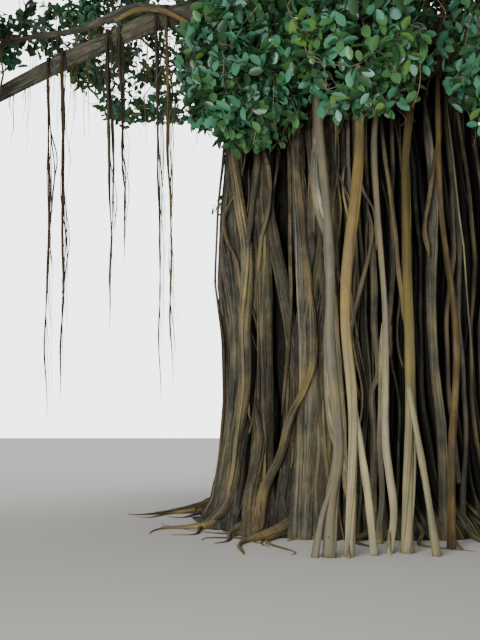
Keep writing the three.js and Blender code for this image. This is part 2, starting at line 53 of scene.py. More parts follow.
# Trunk
TRUNK_OUTLINE = [
    # height above the ground and mean radius: the flare, the waist, the bulge and the fork
    [0, 3.08],
    [0.35, 2.88],
    [1.25, 2.74],
    [2.3, 2.66],
    [3.5, 2.7],
    [4.7, 2.86],
    [6.3, 2.81],
    [7.8, 2.68],
    [9.0, 2.3],
    [9.9, 1.75],
    [10.5, 1.15],
    [10.8, 0.7],
]
SQUARENESS = 2.5
SURFACE_ROOTS = {
    "angles": [-150, -134, -121, -58, -16, 34, 82, 126, 172],
    "start": 2.55,
    "start_height": 0.43,
    "end": 4.75,
    "radius": 0.125,
}
THIN_SURFACE_ROOTS = 30
BAYS = [
    # bays where the trunk is set back behind its strands, dark in shadow and painted shade: angle, half
    # width, depth, lower and upper end
    [-62, 38, 0.85, 0.1, 6.8],
    [30, 22, 0.4, 0.1, 6.8],
    [103, 26, 0.45, 0.1, 6.8],
    [166, 16, 0.3, 0.1, 6.8],
    [-152, 24, 0.1, 0.1, 6.8],
]
GAPS = [
    # gaps between two roots, set back so deep that painted shade makes them black, in the same form
    [-124, 5, 0.55, 4.0, 7.6],
    [-127.5, 3.5, 0.5, 1.3, 3.2],
    [-137, 3, 0.4, 1.2, 2.7],
]
WANDER = [[2.0, 7.4], [1.1, 3.3], [0.5, 1.6]]  # degrees round the trunk, and metres of height per wave
FOOT_FLARE = 0.35  # how much wider a strand is at the ground
FOOT_HEIGHT = 0.35  # over which it goes back to its own width
BAY_SHARES = [0.5, 0.15, 0.25, 0.1, 0]  # of the hanging strands that fill the bays
# Painted shade in the crevices between the strands: how dark, and from and to what depth behind the trunk's
# surface it grows
PAINTED_CREVICE_SHADE = {"shade": 0.92, "between": [0.02, 0.15]}  # it starts and is full this far behind the surface
# The colour of all painted shade, nearly black
PAINTED_SHADE_COLOUR = (0.004, 0.0035, 0.0025, 1)
# Painted shade of the crown on the trunk's strands: how much darker, and between what heights
PAINTED_CROWN_SHADE = {"darker": 0.09, "between": [5.2, 7.4]}  # a strand darkens from one height to the other
# The core's look; its shade of 0.8 is painted shade, deep behind the strands
CORE_LOOK = [0.16, 0.3, 0.8]  # tone, warmth and shade
MEAN_RADIUS = 2.75

# The fused roots all round the trunk, by kind: how many, their radii, tone from dark to pale and warmth from
# grey to orange, rings along each and points round each ring, how deep the flutes are, and the grain's seed
STRANDS = {
    "stout": {
        "count": 58, "radius": [0.085, 0.19], "tone": [0.1, 0.43], "warmth": [0, 0.45],
        "steps": 66, "sides": 16, "fluted": 1.5, "seed": 100,
    },
    "lesser": {
        "count": 74, "radius": [0.035, 0.095], "tone": [0.16, 0.48], "warmth": [0, 0.55],
        "steps": 48, "sides": 11, "fluted": 1.2, "seed": 200,
    },
    "thin": {
        "count": 110, "radius": [0.01, 0.03], "tone": [0.3, 0.58], "warmth": [0.1, 0.8],
        "steps": 40, "sides": 6, "fluted": 0.8, "seed": 400,
    },
    "hanging": {
        "count": 150, "radius": [0.012, 0.05], "tone": [0.16, 0.54], "warmth": [0.05, 0.65],
        "steps": 40, "sides": 6, "fluted": 0.8, "seed": 500,
    },
}
STOUT_RIDGES = 140

# The strands that show in front: points (x, height) from the ground up, how far the centre stands out from
# the trunk's surface, radius at foot and top, tone and warmth
FRONT_STRANDS = {
    "edge": [
        [[-2.76, 0], [-2.64, 0.9], [-2.48, 2.4], [-2.44, 3.4], [-2.56, 4.4], [-2.66, 5.2], [-2.6, 6.2],
         [-2.5, 8.2]],
        -0.1, [0.19, 0.14], [0.35, 0.1],
    ],
    "edge_fold": [
        [[-2.52, 0], [-2.42, 0.9], [-2.3, 2.4], [-2.28, 3.5], [-2.38, 4.6], [-2.47, 5.5], [-2.42, 6.4],
         [-2.32, 8.3]],
        -0.09, [0.15, 0.11], [0.28, 0.2],
    ],
    "tan": [
        [[-3.05, 0.03], [-2.75, 0.12], [-2.52, 0.4], [-2.4, 0.9], [-2.35, 1.4], [-2.28, 1.9], [-2.2, 2.5],
         [-2.2, 3.6], [-2.15, 4.5], [-2.17, 5.0], [-2.28, 5.75], [-2.4, 7.0], [-2.35, 8.4]],
        0.07, [0.12, 0.09], [0.48, 0.42],
    ],
    "loop": [
        [[-2.22, 3.9], [-2.32, 4.7], [-2.5, 5.2], [-2.54, 5.7], [-2.36, 6.0]],
        0.12, [0.03, 0.035], [0.55, 0.6],
    ],
    "brown": [
        [[-2.02, 0], [-1.97, 0.4], [-1.97, 1.2], [-1.93, 2.2], [-1.93, 3.4], [-1.96, 5.2], [-1.94, 7.0],
         [-1.9, 8.5]],
        -0.06, [0.16, 0.14], [0.32, 0.35],
    ],
    "brown_fork": [
        [[-2.14, 4.7], [-2.08, 5.2], [-2.03, 5.75], [-1.95, 6.3], [-1.95, 7.2], [-1.95, 8.4]],
        0.14, [0.045, 0.08], [0.38, 0.35],
    ],
    "brown_fork_b": [
        [[-1.95, 4.4], [-1.9, 5.0], [-1.8, 5.4], [-1.75, 5.95], [-1.85, 6.8]],
        0.12, [0.04, 0.05], [0.45, 0.5],
    ],
    "foot_knee": [
        [[-2.1, 0], [-2.08, 0.5], [-2.0, 1.0], [-1.93, 1.5], [-2.0, 2.1]],
        0.12, [0.13, 0.07], [0.36, 0.4],
    ],
    "ragged": [
        [[-1.72, 0], [-1.65, 0.7], [-1.55, 1.6], [-1.5, 2.4], [-1.52, 3.3], [-1.66, 4.2], [-1.84, 5.2],
         [-1.9, 6.6], [-1.86, 8.4]],
        -0.12, [0.16, 0.09], [0.29, 0.25],
    ],
    "red_thin": [
        [[-1.6, 1.9], [-1.5, 2.85], [-1.44, 3.7], [-1.45, 4.65], [-1.44, 5.6], [-1.44, 6.65], [-1.4, 8.0]],
        0.08, [0.03, 0.035], [0.3, 0.6],
    ],
    "orange": [
        [[-1.36, 0.9], [-1.3, 2.0], [-1.2, 3.0], [-1.22, 3.4], [-1.15, 4.0], [-1.21, 4.6], [-1.26, 5.4],
         [-1.3, 6.1], [-1.28, 7.0], [-1.25, 8.4]],
        0.07, [0.06, 0.06], [0.44, 0.62],
    ],
    "diagonal": [
        [[-2.1, 0.03], [-1.97, 0.12], [-1.86, 0.7], [-1.6, 1.26], [-1.42, 1.9], [-1.22, 2.3], [-1.1, 2.65],
         [-1.06, 3.2], [-1.1, 4.0]],
        0.13, [0.085, 0.045], [0.46, 0.6],
    ],
    "pale_patch": [
        [[-1.42, 0], [-1.34, 0.7], [-1.26, 1.5], [-1.21, 2.2], [-1.2, 3.1], [-1.27, 4.2], [-1.33, 6.0],
         [-1.3, 8.4]],
        -0.04, [0.17, 0.12], [0.46, 0.08],
    ],
    "light_grey": [
        [[-0.62, 0.7], [-0.68, 1.2], [-0.82, 1.8], [-0.86, 2.4], [-0.85, 3.3], [-0.77, 3.95], [-0.83, 4.4],
         [-0.84, 4.9], [-0.96, 5.4], [-1.01, 6.0], [-0.97, 6.7], [-0.95, 8.3]],
        0.1, [0.08, 0.075], [0.68, 0.1],
    ],
    "light_fork": [
        [[-0.62, 0.5], [-0.65, 1.35], [-0.64, 1.85], [-0.66, 2.35], [-0.71, 3.3], [-0.73, 3.8],
         [-0.84, 4.45]],
        0.14, [0.055, 0.045], [0.62, 0.35],
    ],
    "brown_back": [
        [[-1.0, 0], [-0.95, 0.8], [-0.98, 2.0], [-0.98, 3.2], [-0.8, 4.6], [-0.75, 5.3], [-0.77, 6.0],
         [-0.75, 8.4]],
        -0.12, [0.17, 0.12], [0.3, 0.4],
    ],
    "pillar_back": [
        [[-0.72, 0], [-0.62, 1.0], [-0.55, 2.4], [-0.5, 4.0], [-0.52, 6.0], [-0.5, 8.4]],
        -0.2, [0.12, 0.09], [0.28, 0.3],
    ],
    "vine": [
        [[-0.55, 2.9], [-0.43, 3.55], [-0.3, 4.1], [-0.18, 4.6], [-0.13, 4.95], [-0.21, 5.45]],
        0.2, [0.035, 0.03], [0.5, 0.25],
    ],
    "thin_curve": [
        [[-0.08, 4.6], [-0.08, 4.9], [-0.1, 5.3], [-0.23, 5.6], [-0.29, 5.85], [-0.32, 6.6]],
        0.22, [0.02, 0.022], [0.55, 0.35],
    ],
    "wide_brown": [
        [[-0.3, 0.2], [-0.18, 1.4], [-0.17, 2.3], [-0.06, 2.55], [-0.1, 3.3], [-0.1, 4.3], [-0.14, 5.2]],
        0.06, [0.06, 0.055], [0.5, 0.35],
    ],
    "pale_inner": [
        [[-0.26, 0], [-0.15, 0.6], [-0.13, 1.4], [-0.08, 2.25], [-0.06, 2.7], [-0.02, 3.4]],
        0.28, [0.045, 0.035], [0.72, 0.3],
    ],
    "olive_thin": [
        [[0.3, 3.3], [0.27, 3.75], [0.22, 4.2], [0.17, 5.1], [0.13, 5.7], [0.08, 6.4], [0.05, 7.6]],
        0.34, [0.035, 0.035], [0.42, 0.6],
    ],
    "orange_fork": [
        [[0.74, 4.5], [0.69, 4.95], [0.79, 5.5], [0.95, 6.3], [1.05, 6.7], [1.1, 7.6]],
        0.22, [0.035, 0.04], [0.5, 0.75],
    ],
    "flat_grey": [
        [[0.85, 0], [0.92, 0.7], [0.97, 1.8], [0.92, 3.0], [0.91, 4.3], [0.95, 4.9], [1.02, 5.5], [1.0, 7.6]],
        -0.03, [0.075, 0.075], [0.48, 0.1],
    ],
    "thin_pale": [
        [[1.36, 2.6], [1.35, 3.3], [1.31, 3.9], [1.28, 4.5], [1.23, 5.35], [1.2, 6.4], [1.18, 7.4]],
        0.3, [0.014, 0.014], [0.6, 0.2],
    ],
    "right_pale": [
        [[1.2, 0], [1.32, 0.7], [1.5, 1.55], [1.55, 2.7], [1.5, 3.7], [1.55, 5.5], [1.5, 7.5]],
        -0.1, [0.045, 0.04], [0.45, 0.12],
    ],
    "right_dull": [
        [[1.75, 0], [1.85, 0.8], [1.9, 2.4], [1.82, 4.0], [1.85, 6.0], [1.8, 8.2]],
        -0.25, [0.08, 0.06], [0.33, 0.15],
    ],
}

BOUGH_LOOK = [0.4, 0.12]  # tone and warmth
LEFT_BOUGH_LOOK = [0.5, 0.0]
BOUGH_THREADS = [12, 1.6]  # thin roots that hang from a bough: how many, and the longest
LEFT_BOUGH_THREADS = [44, 2.8]
# A slender root from the left bough to the trunk: points, radii, tone and warmth
STRUT = [
    [[-4.9, -1.55, 9.9], [-4.38, -1.82, 9.96], [-3.78, -1.9, 9.84], [-3.0, -1.7, 9.37], [-2.4, -1.35, 8.7]],
    [0.05, 0.055], [0.6, 0.75],
]
# Boughs: angle and height where each leaves the trunk, angle, distance and height at the tip, the height of
# its arch, and its radius at root and tip
BOUGHS = {
    "left": [[-158, 9.75], [-165, 7.5, 7.9], 10.45, [0.28, 0.11]],
    "front_left": [[-104, 9.15], [-117, 6.1, 9.75], 10.2, [0.37, 0.12]],
    "front_right": [[-78, 9.05], [-71, 6.1, 8.75], 9.65, [0.37, 0.12]],
    "right_front": [[-34, 9.1], [-30, 6.2, 8.6], 9.8, [0.38, 0.125]],
    "right": [[10, 9.0], [12, 6.0, 8.7], 9.6, [0.36, 0.12]],
    "right_back": [[50, 9.15], [52, 6.2, 8.8], 9.9, [0.39, 0.125]],
    "back": [[94, 9.0], [89, 6.1, 8.7], 9.65, [0.37, 0.12]],
    "left_back": [[140, 9.3], [140, 5.0, 11.9], 10.9, [0.35, 0.125]],
    "upper_front_left": [[-126, 10.15], [-130, 3.3, 11.9], 11.5, [0.25, 0.115]],
    "upper_front_right": [[-40, 10.15], [-45, 3.3, 11.9], 11.5, [0.25, 0.115]],
    "upper_back_right": [[44, 10.15], [42, 3.3, 11.8], 11.4, [0.25, 0.115]],
    "upper_back_left": [[122, 10.15], [124, 3.0, 12.3], 11.6, [0.25, 0.115]],
}
LEADER = {"base": 10.1, "height": 12.7, "sway": 0.22, "radii": [0.33, 0.13]}
SIDE_BOUGH = {"along": 3.7, "to": [-175, 7.0, 10.15], "rise": 0.24, "radii": [0.095, 0.055]}
BOUGH_COLLAR = 0.6  # how far a bough's wider root reaches out of the trunk
BOUGH_STEPS = 200

# Prop roots: points from the ground up, the bough each hangs from and how far out, radius at foot and top,
# tone and warmth at foot and top, and a second leg where it has one: points from the ground up, and radii
# Where a root's top is darker, that is partly its own colour and partly painted shade of the crown
PROP_ROOTS = {
    "pale": {
        "way": [[-0.91, -4.45, 0], [-0.79, -4.3, 1.95], [-0.8, -4.2, 3.25], [-0.59, -4.01, 5.3],
                [-0.49, -3.84, 6.3], [-0.48, -3.74, 7.1]],
        "bough": "front_left", "along": 3.9, "radii": [0.06, 0.088], "look": [[0.84, 0.45], [0.54, 1.0]],
        "leg": [[[-0.56, -4.35, 0], [-0.64, -4.31, 1.05], [-0.795, -4.28, 2.25]], [0.052, 0.046]],
    },
    "olive": {
        "way": [[-0.07, -4.15, 0], [0, -4.1, 1.0], [0.07, -4.05, 2.05], [0.25, -3.8, 4.4],
                [0.4, -3.45, 6.55]],
        "bough": "front_right", "along": 3.56, "radii": [0.08, 0.05], "look": [[0.82, 0.35], [0.38, 1.0]],
        "leg": [[[0.26, -4.4, 0], [0.19, -4.25, 1.0], [0.08, -4.06, 2.25]], [0.05, 0.042]],
    },
    "grey": {
        "way": [[-0.32, -4.18, 0], [-0.19, -3.95, 0.5], [-0.235, -3.8, 1.5], [-0.06, -3.52, 3.4],
                [-0.12, -3.38, 6.55]],
        "bough": "front_right", "along": 3.15, "radii": [0.05, 0.042], "look": [[0.8, 0.15], [0.6, 0.2]],
    },
    "russet": {
        "way": [[0.63, -3.85, 0], [0.76, -3.7, 1.2], [0.96, -3.56, 3.35], [0.9, -3.48, 6.85]],
        "bough": "front_right", "along": 3.98, "radii": [0.052, 0.036], "look": [[0.4, 1.0], [0.33, 1.0]],
    },
    "leaning": {
        "way": [[-1.18, -4.48, 0], [-1.1, -4.28, 0.7], [-0.95, -4.06, 1.3], [-1.01, -3.73, 3.0],
                [-0.93, -3.45, 4.75]],
        "bough": "front_left", "along": 3.25, "radii": [0.076, 0.064], "look": [[0.62, 0.4], [0.52, 0.05]],
        "leg": [[[-1.37, -4.5, 0], [-1.25, -4.4, 0.5], [-1.06, -4.22, 0.95]], [0.045, 0.042]],
    },
}
# The prop roots round the sides and back: bough, foot's distance, how far the foot is turned from the bough,
# how far out it meets the bough, and radius
PLAIN_PROP_ROOTS = {
    "right_front_a": ["right_front", 4.25, -5, 3.3, 0.09],
    "right_front_b": ["right_front", 4.5, 6, 3.9, 0.065],
    "right": ["right", 4.15, 4, 3.5, 0.1],
    "right_back": ["right_back", 4.3, -6, 3.6, 0.085],
    "back_a": ["back", 4.1, -6, 3.3, 0.095],
    "back_b": ["back", 4.45, 5, 3.85, 0.065],
    "left_back": ["back", 4.15, 22, 3.05, 0.08],
}
PROP_FLARE = 1.35
PROP_SWAY = 0.035  # how far a prop root winds from its smooth way
# The roots that hang free from the left bough: how far out, height of the lower end, radius, tone and warmth
HANGING_ROOTS = {
    "a": [6.33, 1.85, 0.034, [0.3, 0.55]],
    "b": [6.06, 2.19, 0.04, [0.34, 0.95]],
    "c": [5.24, 3.55, 0.042, [0.36, 0.35]],
    "d": [5.01, 4.85, 0.036, [0.3, 0.0]],
    "e": [4.27, 2.12, 0.03, [0.34, 0.2]],
    "f": [4.06, 2.53, 0.036, [0.5, 0.75]],
}
HANGING_SWAY = 0.05
HANGING_LEAN = 0.25  # how far the lower end is nearer to the trunk than the upper one

# Foliage: angle, distance and height of each mass's middle, its radii outwards, round and up, its bough, and
# how full it is
MASSES = {
    "left": [[-161, 9.35, 8.35], [2.5, 3.8, 2.45], "left", 0.6],
    "front_left": [[-119, 8.3, 10.2], [3.4, 4.4, 2.35], "front_left", 1],
    "front_right": [[-73, 8.35, 9.1], [3.5, 4.2, 2.95], "front_right", 1],
    "right_front": [[-29, 8.4, 9.2], [3.5, 4.2, 3.0], "right_front", 1],
    "right": [[12, 8.2, 9.05], [3.5, 4.2, 2.95], "right", 1],
    "right_back": [[52, 8.4, 9.25], [3.5, 4.2, 3.05], "right_back", 1],
    "back": [[89, 8.3, 9.3], [3.5, 3.9, 2.9], "back", 1],
    "left_back": [[140, 6.9, 13.0], [3.3, 4.0, 2.0], "left_back", 0.4],
    "left_side": [[-176, 8.9, 10.95], [2.7, 2.4, 1.5], "left_side", 0.22],
    "upper_front_left": [[-133, 4.7, 12.4], [3.7, 4.1, 2.45], "upper_front_left", 1],
    "upper_front_right": [[-46, 4.7, 12.3], [3.7, 4.1, 2.45], "upper_front_right", 1],
    "upper_back_right": [[42, 4.7, 12.25], [3.7, 4.1, 2.45], "upper_back_right", 1],
    "upper_back_left": [[122, 4.2, 12.9], [3.5, 3.8, 2.1], "upper_back_left", 0.6],
    "top": [[60, 0.35, 14.05], [3.0, 3.0, 1.95], "leader", 1],
}
SKIRT = {
    # the low masses close round the trunk, each on a stem of its own from the trunk: angle, distance and
    # leaves along each shoot, fewer where bare twigs show
    "at": [
        [-123, 4.2, 8], [-97, 4.75, 6], [-67, 4.75, 4], [-42, 4.35, 4],
        [-9, 4.15, 7], [34, 4.15, 8], [71, 4.2, 8], [107, 4.25, 8],
    ],
    "height": 7.55,
    "radii": [1.35, 1.25, 1.6],
    "stem_from": 2.1,
    "stem_height": 8.2,
    "stem_radius": 0.095,
    "stem_short": 0.5,  # how far the stem's end is short of the mass's middle, and above it
    "stem_above": 0.35,
}
CROWN_STEM = 0.42  # how far a crown mass's stem runs on from its bough's tip
CROWN_GROWTH = {
    "forks": [[4, 0.22], [8, 0.66], [27, 0.82]],  # how many, and how far out as a share of the mass's radii
    "ends": 165,  # twigs
    "shoots": 10,  # at the end of each twig
    "leaves": 8,  # along each shoot
    "leaf": 0.28,
    "shoot": 0.7,
    "twig": 0.011,
    "dangling": 20,
    "billow": 0.24,
}
SKIRT_GROWTH = {
    "forks": [[2, 0.2], [5, 0.62], [15, 0.8]],
    "ends": 60,
    "shoots": 7,
    "leaf": 0.24,
    "shoot": 0.5,
    "twig": 0.01,
    "dangling": 26,
    "billow": 0.08,
}
PIPE = 0.42  # how a twig's radius grows with the twigs that it carries
THRIFT = 0.4  # how much a long way back to the stem counts when a twig picks where to start
JITTER = 0.3
SPACE_OVERLAP = 0.45  # how far the sprays of two masses may reach into each other's space
BILLOWS = {"count": 9, "width": 0.55}  # round swells on a mass
GOLDEN_TURN = 2.4  # radians from one leaf to the next round its shoot
LEAF_OUTLINE = [
    # along, across and up, as shares of the leaf's length: root, three points a side, the tip and the midrib
    [0, 0, 0],
    [0.2, -0.2, 0.05],
    [0.52, -0.29, 0.06],
    [0.84, -0.19, 0.0],
    [1, 0, -0.08],
    [0.84, 0.19, 0.0],
    [0.52, 0.29, 0.06],
    [0.2, 0.2, 0.05],
    [0.55, 0, -0.03],
]

# Leaf colours: in painted shade, the usual one, blue-green with a painted sheen of the sky, pale with a
# painted sheen where the sky shines on it, and young
LEAF_COLOURS = {
    "shaded": (0.02, 0.058, 0.02),
    "usual": (0.055, 0.143, 0.048),
    "bluish_sheen": (0.058, 0.19, 0.104),
    "pale": (0.11, 0.245, 0.175),
    "young": (0.08, 0.17, 0.035),
}
LEAF_ODDS = [0.22, 0.37, 0.28, 0.08, 0.05]  # in the same order

# Tone, warmth and shade of the wood in the foliage
STEM_LOOK = [0.4, 0.2, 0.0]
TWIG_LOOK = [0.48, 0.35, 0.0]
SHOOT_LOOK = [0.56, 0.4, 0.0]
DANGLING_LOOK = [0.55, 0.4, 0.0]

# Barks: contrast of the tones, lichen, moss, relief in metres, and a green film where there is one
BARKS = {
    "trunk": [0.56, 0.2, 0.22, 0.03],
    "bough": [0.5, 0.7, 0.15, 0.02],
    "prop_root": [0.34, 0.12, 0.08, 0.01],
    "olive_prop_root": [0.34, 0.1, 0.2, 0.01, 0.3],
    "hanging_root": [0.4, 0.1, 0.1, 0.01],
}

# Bark colours from dark to pale, of the grey kind and of the warm kind
GREY_BARK = [
    (0.0, (0.008, 0.0075, 0.006)),
    (0.35, (0.048, 0.0445, 0.034)),
    (0.7, (0.18, 0.168, 0.124)),
    (1.0, (0.43, 0.4, 0.3)),
]
WARM_BARK = [
    (0.0, (0.01, 0.006, 0.003)),
    (0.35, (0.068, 0.043, 0.017)),
    (0.7, (0.225, 0.16, 0.05)),
    (1.0, (0.5, 0.42, 0.15)),
]
LICHEN = (0.22, 0.235, 0.2, 1)
MOSS = (0.035, 0.05, 0.018, 1)
GREEN_FILM = (0.075, 0.08, 0.015, 1)  # green growth that colours a whole root

Shape = namedtuple("Shape", "points quads triangles grain look")
Run = namedtuple("Run", "degrees height stand radii")  # strands on the trunk, with a row for each strand
Stem = namedtuple("Stem", "start along length radius")
Mass = namedtuple("Mass", "name at radii growth stem seed full")


# Numbers, points and paths


def chance(seed):
    """A repeatable number from 0 to 1 for each seed: the fraction of a large sine."""
    return np.modf(np.modf(np.sin(np.asarray(seed) * 12.9898 + 78.233) * 43758.5453)[0] + 1)[0]


def smoothstep(value, low, high):
    """0 below low, 1 above high, and 3t^2 - 2t^3 between."""
    t = np.clip((value - low) / (high - low), 0, 1)
    return t * t * (3 - 2 * t)


def heading(turn):
    """The level direction at each angle, in radians: cos along X and sin along Y."""
    return np.stack([np.cos(turn), np.sin(turn), np.zeros_like(turn)], axis=-1)


def polar(degrees, distance, height):
    """Points from an angle round the trunk, a distance from its axis and a height."""
    turn = np.radians(degrees)
    flat = [distance * np.cos(turn), distance * np.sin(turn), height]
    return np.stack(np.broadcast_arrays(*flat), axis=-1).astype(float)


def turned(points, degrees):
    """Points turned about the upright axis: x cos - y sin, x sin + y cos, and the same height."""
    cos, sin = math.cos(math.radians(degrees)), math.sin(math.radians(degrees))
    x, y, height = points[..., 0], points[..., 1], points[..., 2]
    return np.stack([x * cos - y * sin, x * sin + y * cos, height], axis=-1)


def unit(vectors):
    """Vectors divided by their lengths."""
    return vectors / np.maximum(np.linalg.norm(vectors, axis=-1, keepdims=True), 1e-9)


def lattice(count):
    """Evenly spread directions: each a golden angle further round, with its height one step lower."""
    index = np.arange(count)
    height = 1 - (2 * index + 1) / count
    flat = np.sqrt(1 - height**2)
    turn = index * math.pi * (3 - math.sqrt(5))
    return np.stack([flat * np.cos(turn), flat * np.sin(turn), height], axis=-1)


def spaced(points, steps):
    """Points at even distances along a line of points."""
    way = np.concatenate([[0], np.cumsum(np.linalg.norm(np.diff(points, axis=0), axis=1))])
    stops = np.linspace(0, way[-1], steps)
    return np.stack([np.interp(stops, way, row) for row in points.T], axis=-1)


def smooth_path(points, steps):
    """Evenly spaced points on a centripetal Catmull-Rom curve: between two points it is the cubic whose end
    slopes weigh the neighbouring chords by the square roots of their lengths."""
    points = np.asarray(points, float)
    ends = np.vstack([2 * points[0] - points[1], points, 2 * points[-1] - points[-2]])
    roots = np.sqrt(np.linalg.norm(np.diff(ends, axis=0), axis=1))
    before, here, after = roots[:-2, None], roots[1:-1, None], roots[2:, None]
    a, b, c, d = ends[:-3], ends[1:-2], ends[2:-1], ends[3:]
    slope_b = ((b - a) / before - (c - a) / (before + here) + (c - b) / here) * here
    slope_c = ((c - b) / here - (d - b) / (here + after) + (d - c) / after) * here
    share = np.linspace(0, 1, 41)[:-1, None, None]
    bend = 3 * (c - b) - 2 * slope_b - slope_c
    settle = 2 * (b - c) + slope_b + slope_c
    cubic = b + slope_b * share + bend * share**2 + settle * share**3
    fine = np.vstack([cubic.transpose(1, 0, 2).reshape(-1, points.shape[1]), points[-1:]])
    return spaced(fine, steps)


def point_out_at(path, distance):
    """The first point of a path that is a given distance out from the trunk's axis."""
    return path[np.argmax(np.hypot(path[:, 0], path[:, 1]) >= distance)]


# Tubes and meshes


def joined(shapes):
    """One shape from several, with the faces' numbers moved on."""
    starts = np.cumsum([0] + [len(shape.points) for shape in shapes])
    moved = [
        shape._replace(quads=shape.quads + start, triangles=shape.triangles + start)
        for shape, start in zip(shapes, starts)
    ]
    return Shape(*(np.concatenate(column) for column in zip(*moved)))


def tube(centres, out, side, radii, look, seed):
    """Closed tubes, one for each row of centres. A ring's points are centre + radius * (cos(turn) * out +
    sin(turn) * side), and a fan closes each end. The grain is a point's place across the tube and the way
    along it, moved by a seeded step for each tube. The look is tone, warmth and painted shade."""
    rows, steps, sides = radii.shape
    turn = 2 * np.pi * np.arange(sides) / sides
    across = np.stack([radii * np.cos(turn), radii * np.sin(turn)], axis=-1)
    ring = across[..., :1] * out[:, :, None, :] + across[..., 1:] * side[:, :, None, :]
    points = centres[:, :, None, :] + ring
    strides = np.linalg.norm(np.diff(centres, axis=1), axis=2)
    along = np.concatenate([np.zeros((rows, 1)), np.cumsum(strides, axis=1)], axis=1)
    shift = 40 * chance(seed + np.arange(rows)[:, None] * 3.7 + np.array([0.1, 0.4, 0.8]))
    lengthwise = np.broadcast_to(along[..., None, None], across.shape[:3] + (1,))
    grain = np.concatenate([across, lengthwise], axis=-1) + shift[:, None, None, :]
    look = np.broadcast_to(look, (rows, steps, 3))
    middle = np.zeros((rows, 2))
    end_grain = np.stack([middle, middle, along[:, [0, -1]]], axis=-1) + shift[:, None, :]

    number = np.arange(rows * steps * sides).reshape(rows, steps, sides)
    beside = np.roll(number, -1, axis=2)
    quads = np.stack([number[:, :-1], beside[:, :-1], beside[:, 1:], number[:, 1:]], axis=-1).reshape(-1, 4)
    poles = rows * steps * sides + np.arange(rows * 2).reshape(rows, 2, 1)
    pole = np.broadcast_to(poles, (rows, 2, sides))
    first = np.stack([pole[:, 0], beside[:, 0], number[:, 0]], axis=-1)
    last = np.stack([pole[:, 1], number[:, -1], beside[:, -1]], axis=-1)
    triangles = np.concatenate([first.reshape(-1, 3), last.reshape(-1, 3)])
    return Shape(
        np.concatenate([points.reshape(-1, 3), centres[:, [0, -1]].reshape(-1, 3)]),
        quads,
        triangles,
        np.concatenate([grain.reshape(-1, 3), end_grain.reshape(-1, 3)]),
        np.concatenate([np.repeat(look.reshape(-1, 3), sides, axis=0), look[:, [0, -1]].reshape(-1, 3)]),
    )


def square_to(centres, beside):
    """For each ring, two directions square to the path and to each other: the first is the part of beside
    that is square to the path, and the second is the cross product of the path's direction and the first."""
    along = unit(np.gradient(centres, axis=1))
    beside = np.broadcast_to(beside, centres.shape)
    out = unit(beside - along * np.sum(beside * along, axis=-1, keepdims=True))
    return out, np.cross(along, out)


def level_rings(centres):
    """Ring directions for an upright tube: both are level, so a ring at the ground lies flat on it."""
    return np.broadcast_to([1.0, 0, 0], centres.shape), np.broadcast_to([0, 1.0, 0], centres.shape)


def flutes(rng, rows, steps, sides, strength):
    """A ring's radius over its mean one: 1 plus waves of 2, 3, 5 and 8 lobes round the ring, each of which
    turns and swells by seeded sines along the tube. A ring of few sides takes no waves of many lobes."""
    turn = 2 * np.pi * np.arange(sides) / sides
    share = np.linspace(0, 1, steps)[None, :, None]
    total = np.ones((rows, steps, sides))
    for lobes, size in [(2, 0.1), (3, 0.08), (5, 0.05), (8, 0.03)]:
        if 2 * lobes > sides:
            continue
        phase, start, swell = 2 * np.pi * rng.random((3, rows, 1, 1))
        pace = rng.uniform(1.5, 4, (rows, 1, 1))
        drift = rng.uniform(0.4, 1.4, (rows, 1, 1)) * np.sin(pace * 2 * share + start)
        height = size * (0.7 + 0.3 * np.sin(pace * 5 * share + swell))
        total = total + strength * height * np.cos(lobes * turn + phase + lobes * drift)
    return total


def knots(rng, rows, steps, strength=0.12):
    """How thick a tube is along its way, over its mean radius: 1 plus three seeded sines."""
    share = np.linspace(0, 1, steps)
    total = np.ones((rows, steps))
    for waves, size in [(2, 0.5), (6, 0.3), (17, 0.2)]:
        phase = 2 * np.pi * rng.random((rows, 1))
        pace = waves * rng.uniform(0.7, 1.3, (rows, 1))
        total = total + strength * size * np.sin(2 * np.pi * pace * share + phase)
    return total


def fluted_rings(rng, radii, sides, knotty=0.12, fluted=1.0):
    """Ring radii of natural roots and limbs: each mean radius times its knots, times its flutes."""
    thick = radii * knots(rng, *radii.shape, knotty)
    return thick[..., None] * flutes(rng, *radii.shape, sides, fluted)


def round_rings(radii, sides):
    """Ring radii of plain round tubes."""
    return radii[..., None] * np.ones(sides)


def above_ground(shape):
    """A shape whose points below the ground are lifted to it."""
    shape.points[:, 2] = np.maximum(shape.points[:, 2], 0)
    return shape


def add_piece(name, shape, materials, replaced, tones=None):
    """A mesh object from a shape, with its grain and look as point attributes. It rides on the tree's body
    and stands for the replaced node."""
    mesh = bpy.data.meshes.new(name)
    mesh.vertices.add(len(shape.points))
    mesh.vertices.foreach_set("co", shape.points.astype(np.float32).ravel())
    corners = np.concatenate([shape.quads.ravel(), shape.triangles.ravel()]).astype(np.int32)
    mesh.loops.add(len(corners))
    mesh.loops.foreach_set("vertex_index", corners)
    sizes = np.concatenate([np.full(len(shape.quads), 4), np.full(len(shape.triangles), 3)])
    mesh.polygons.add(len(sizes))
    mesh.polygons.foreach_set("loop_start", np.concatenate([[0], np.cumsum(sizes)[:-1]]).astype(np.int32))
    mesh.polygons.foreach_set("use_smooth", np.ones(len(sizes), bool))
    if tones is not None:
        mesh.polygons.foreach_set("material_index", tones.astype(np.int32))
    for field in ("grain", "look"):
        values = getattr(shape, field)
        if values is not None:
            attribute = mesh.attributes.new(field, "FLOAT_VECTOR", "POINT")
            attribute.data.foreach_set("vector", values.astype(np.float32).ravel())
    for material in materials:
        mesh.materials.append(material)
    mesh.update(calc_edges=True)
    mesh.validate()
    piece = bpy.data.objects.new(name, mesh)
    bpy.context.scene.collection.objects.link(piece)
    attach(piece, "root")
    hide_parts(replaced)


# Bark and leaf materials


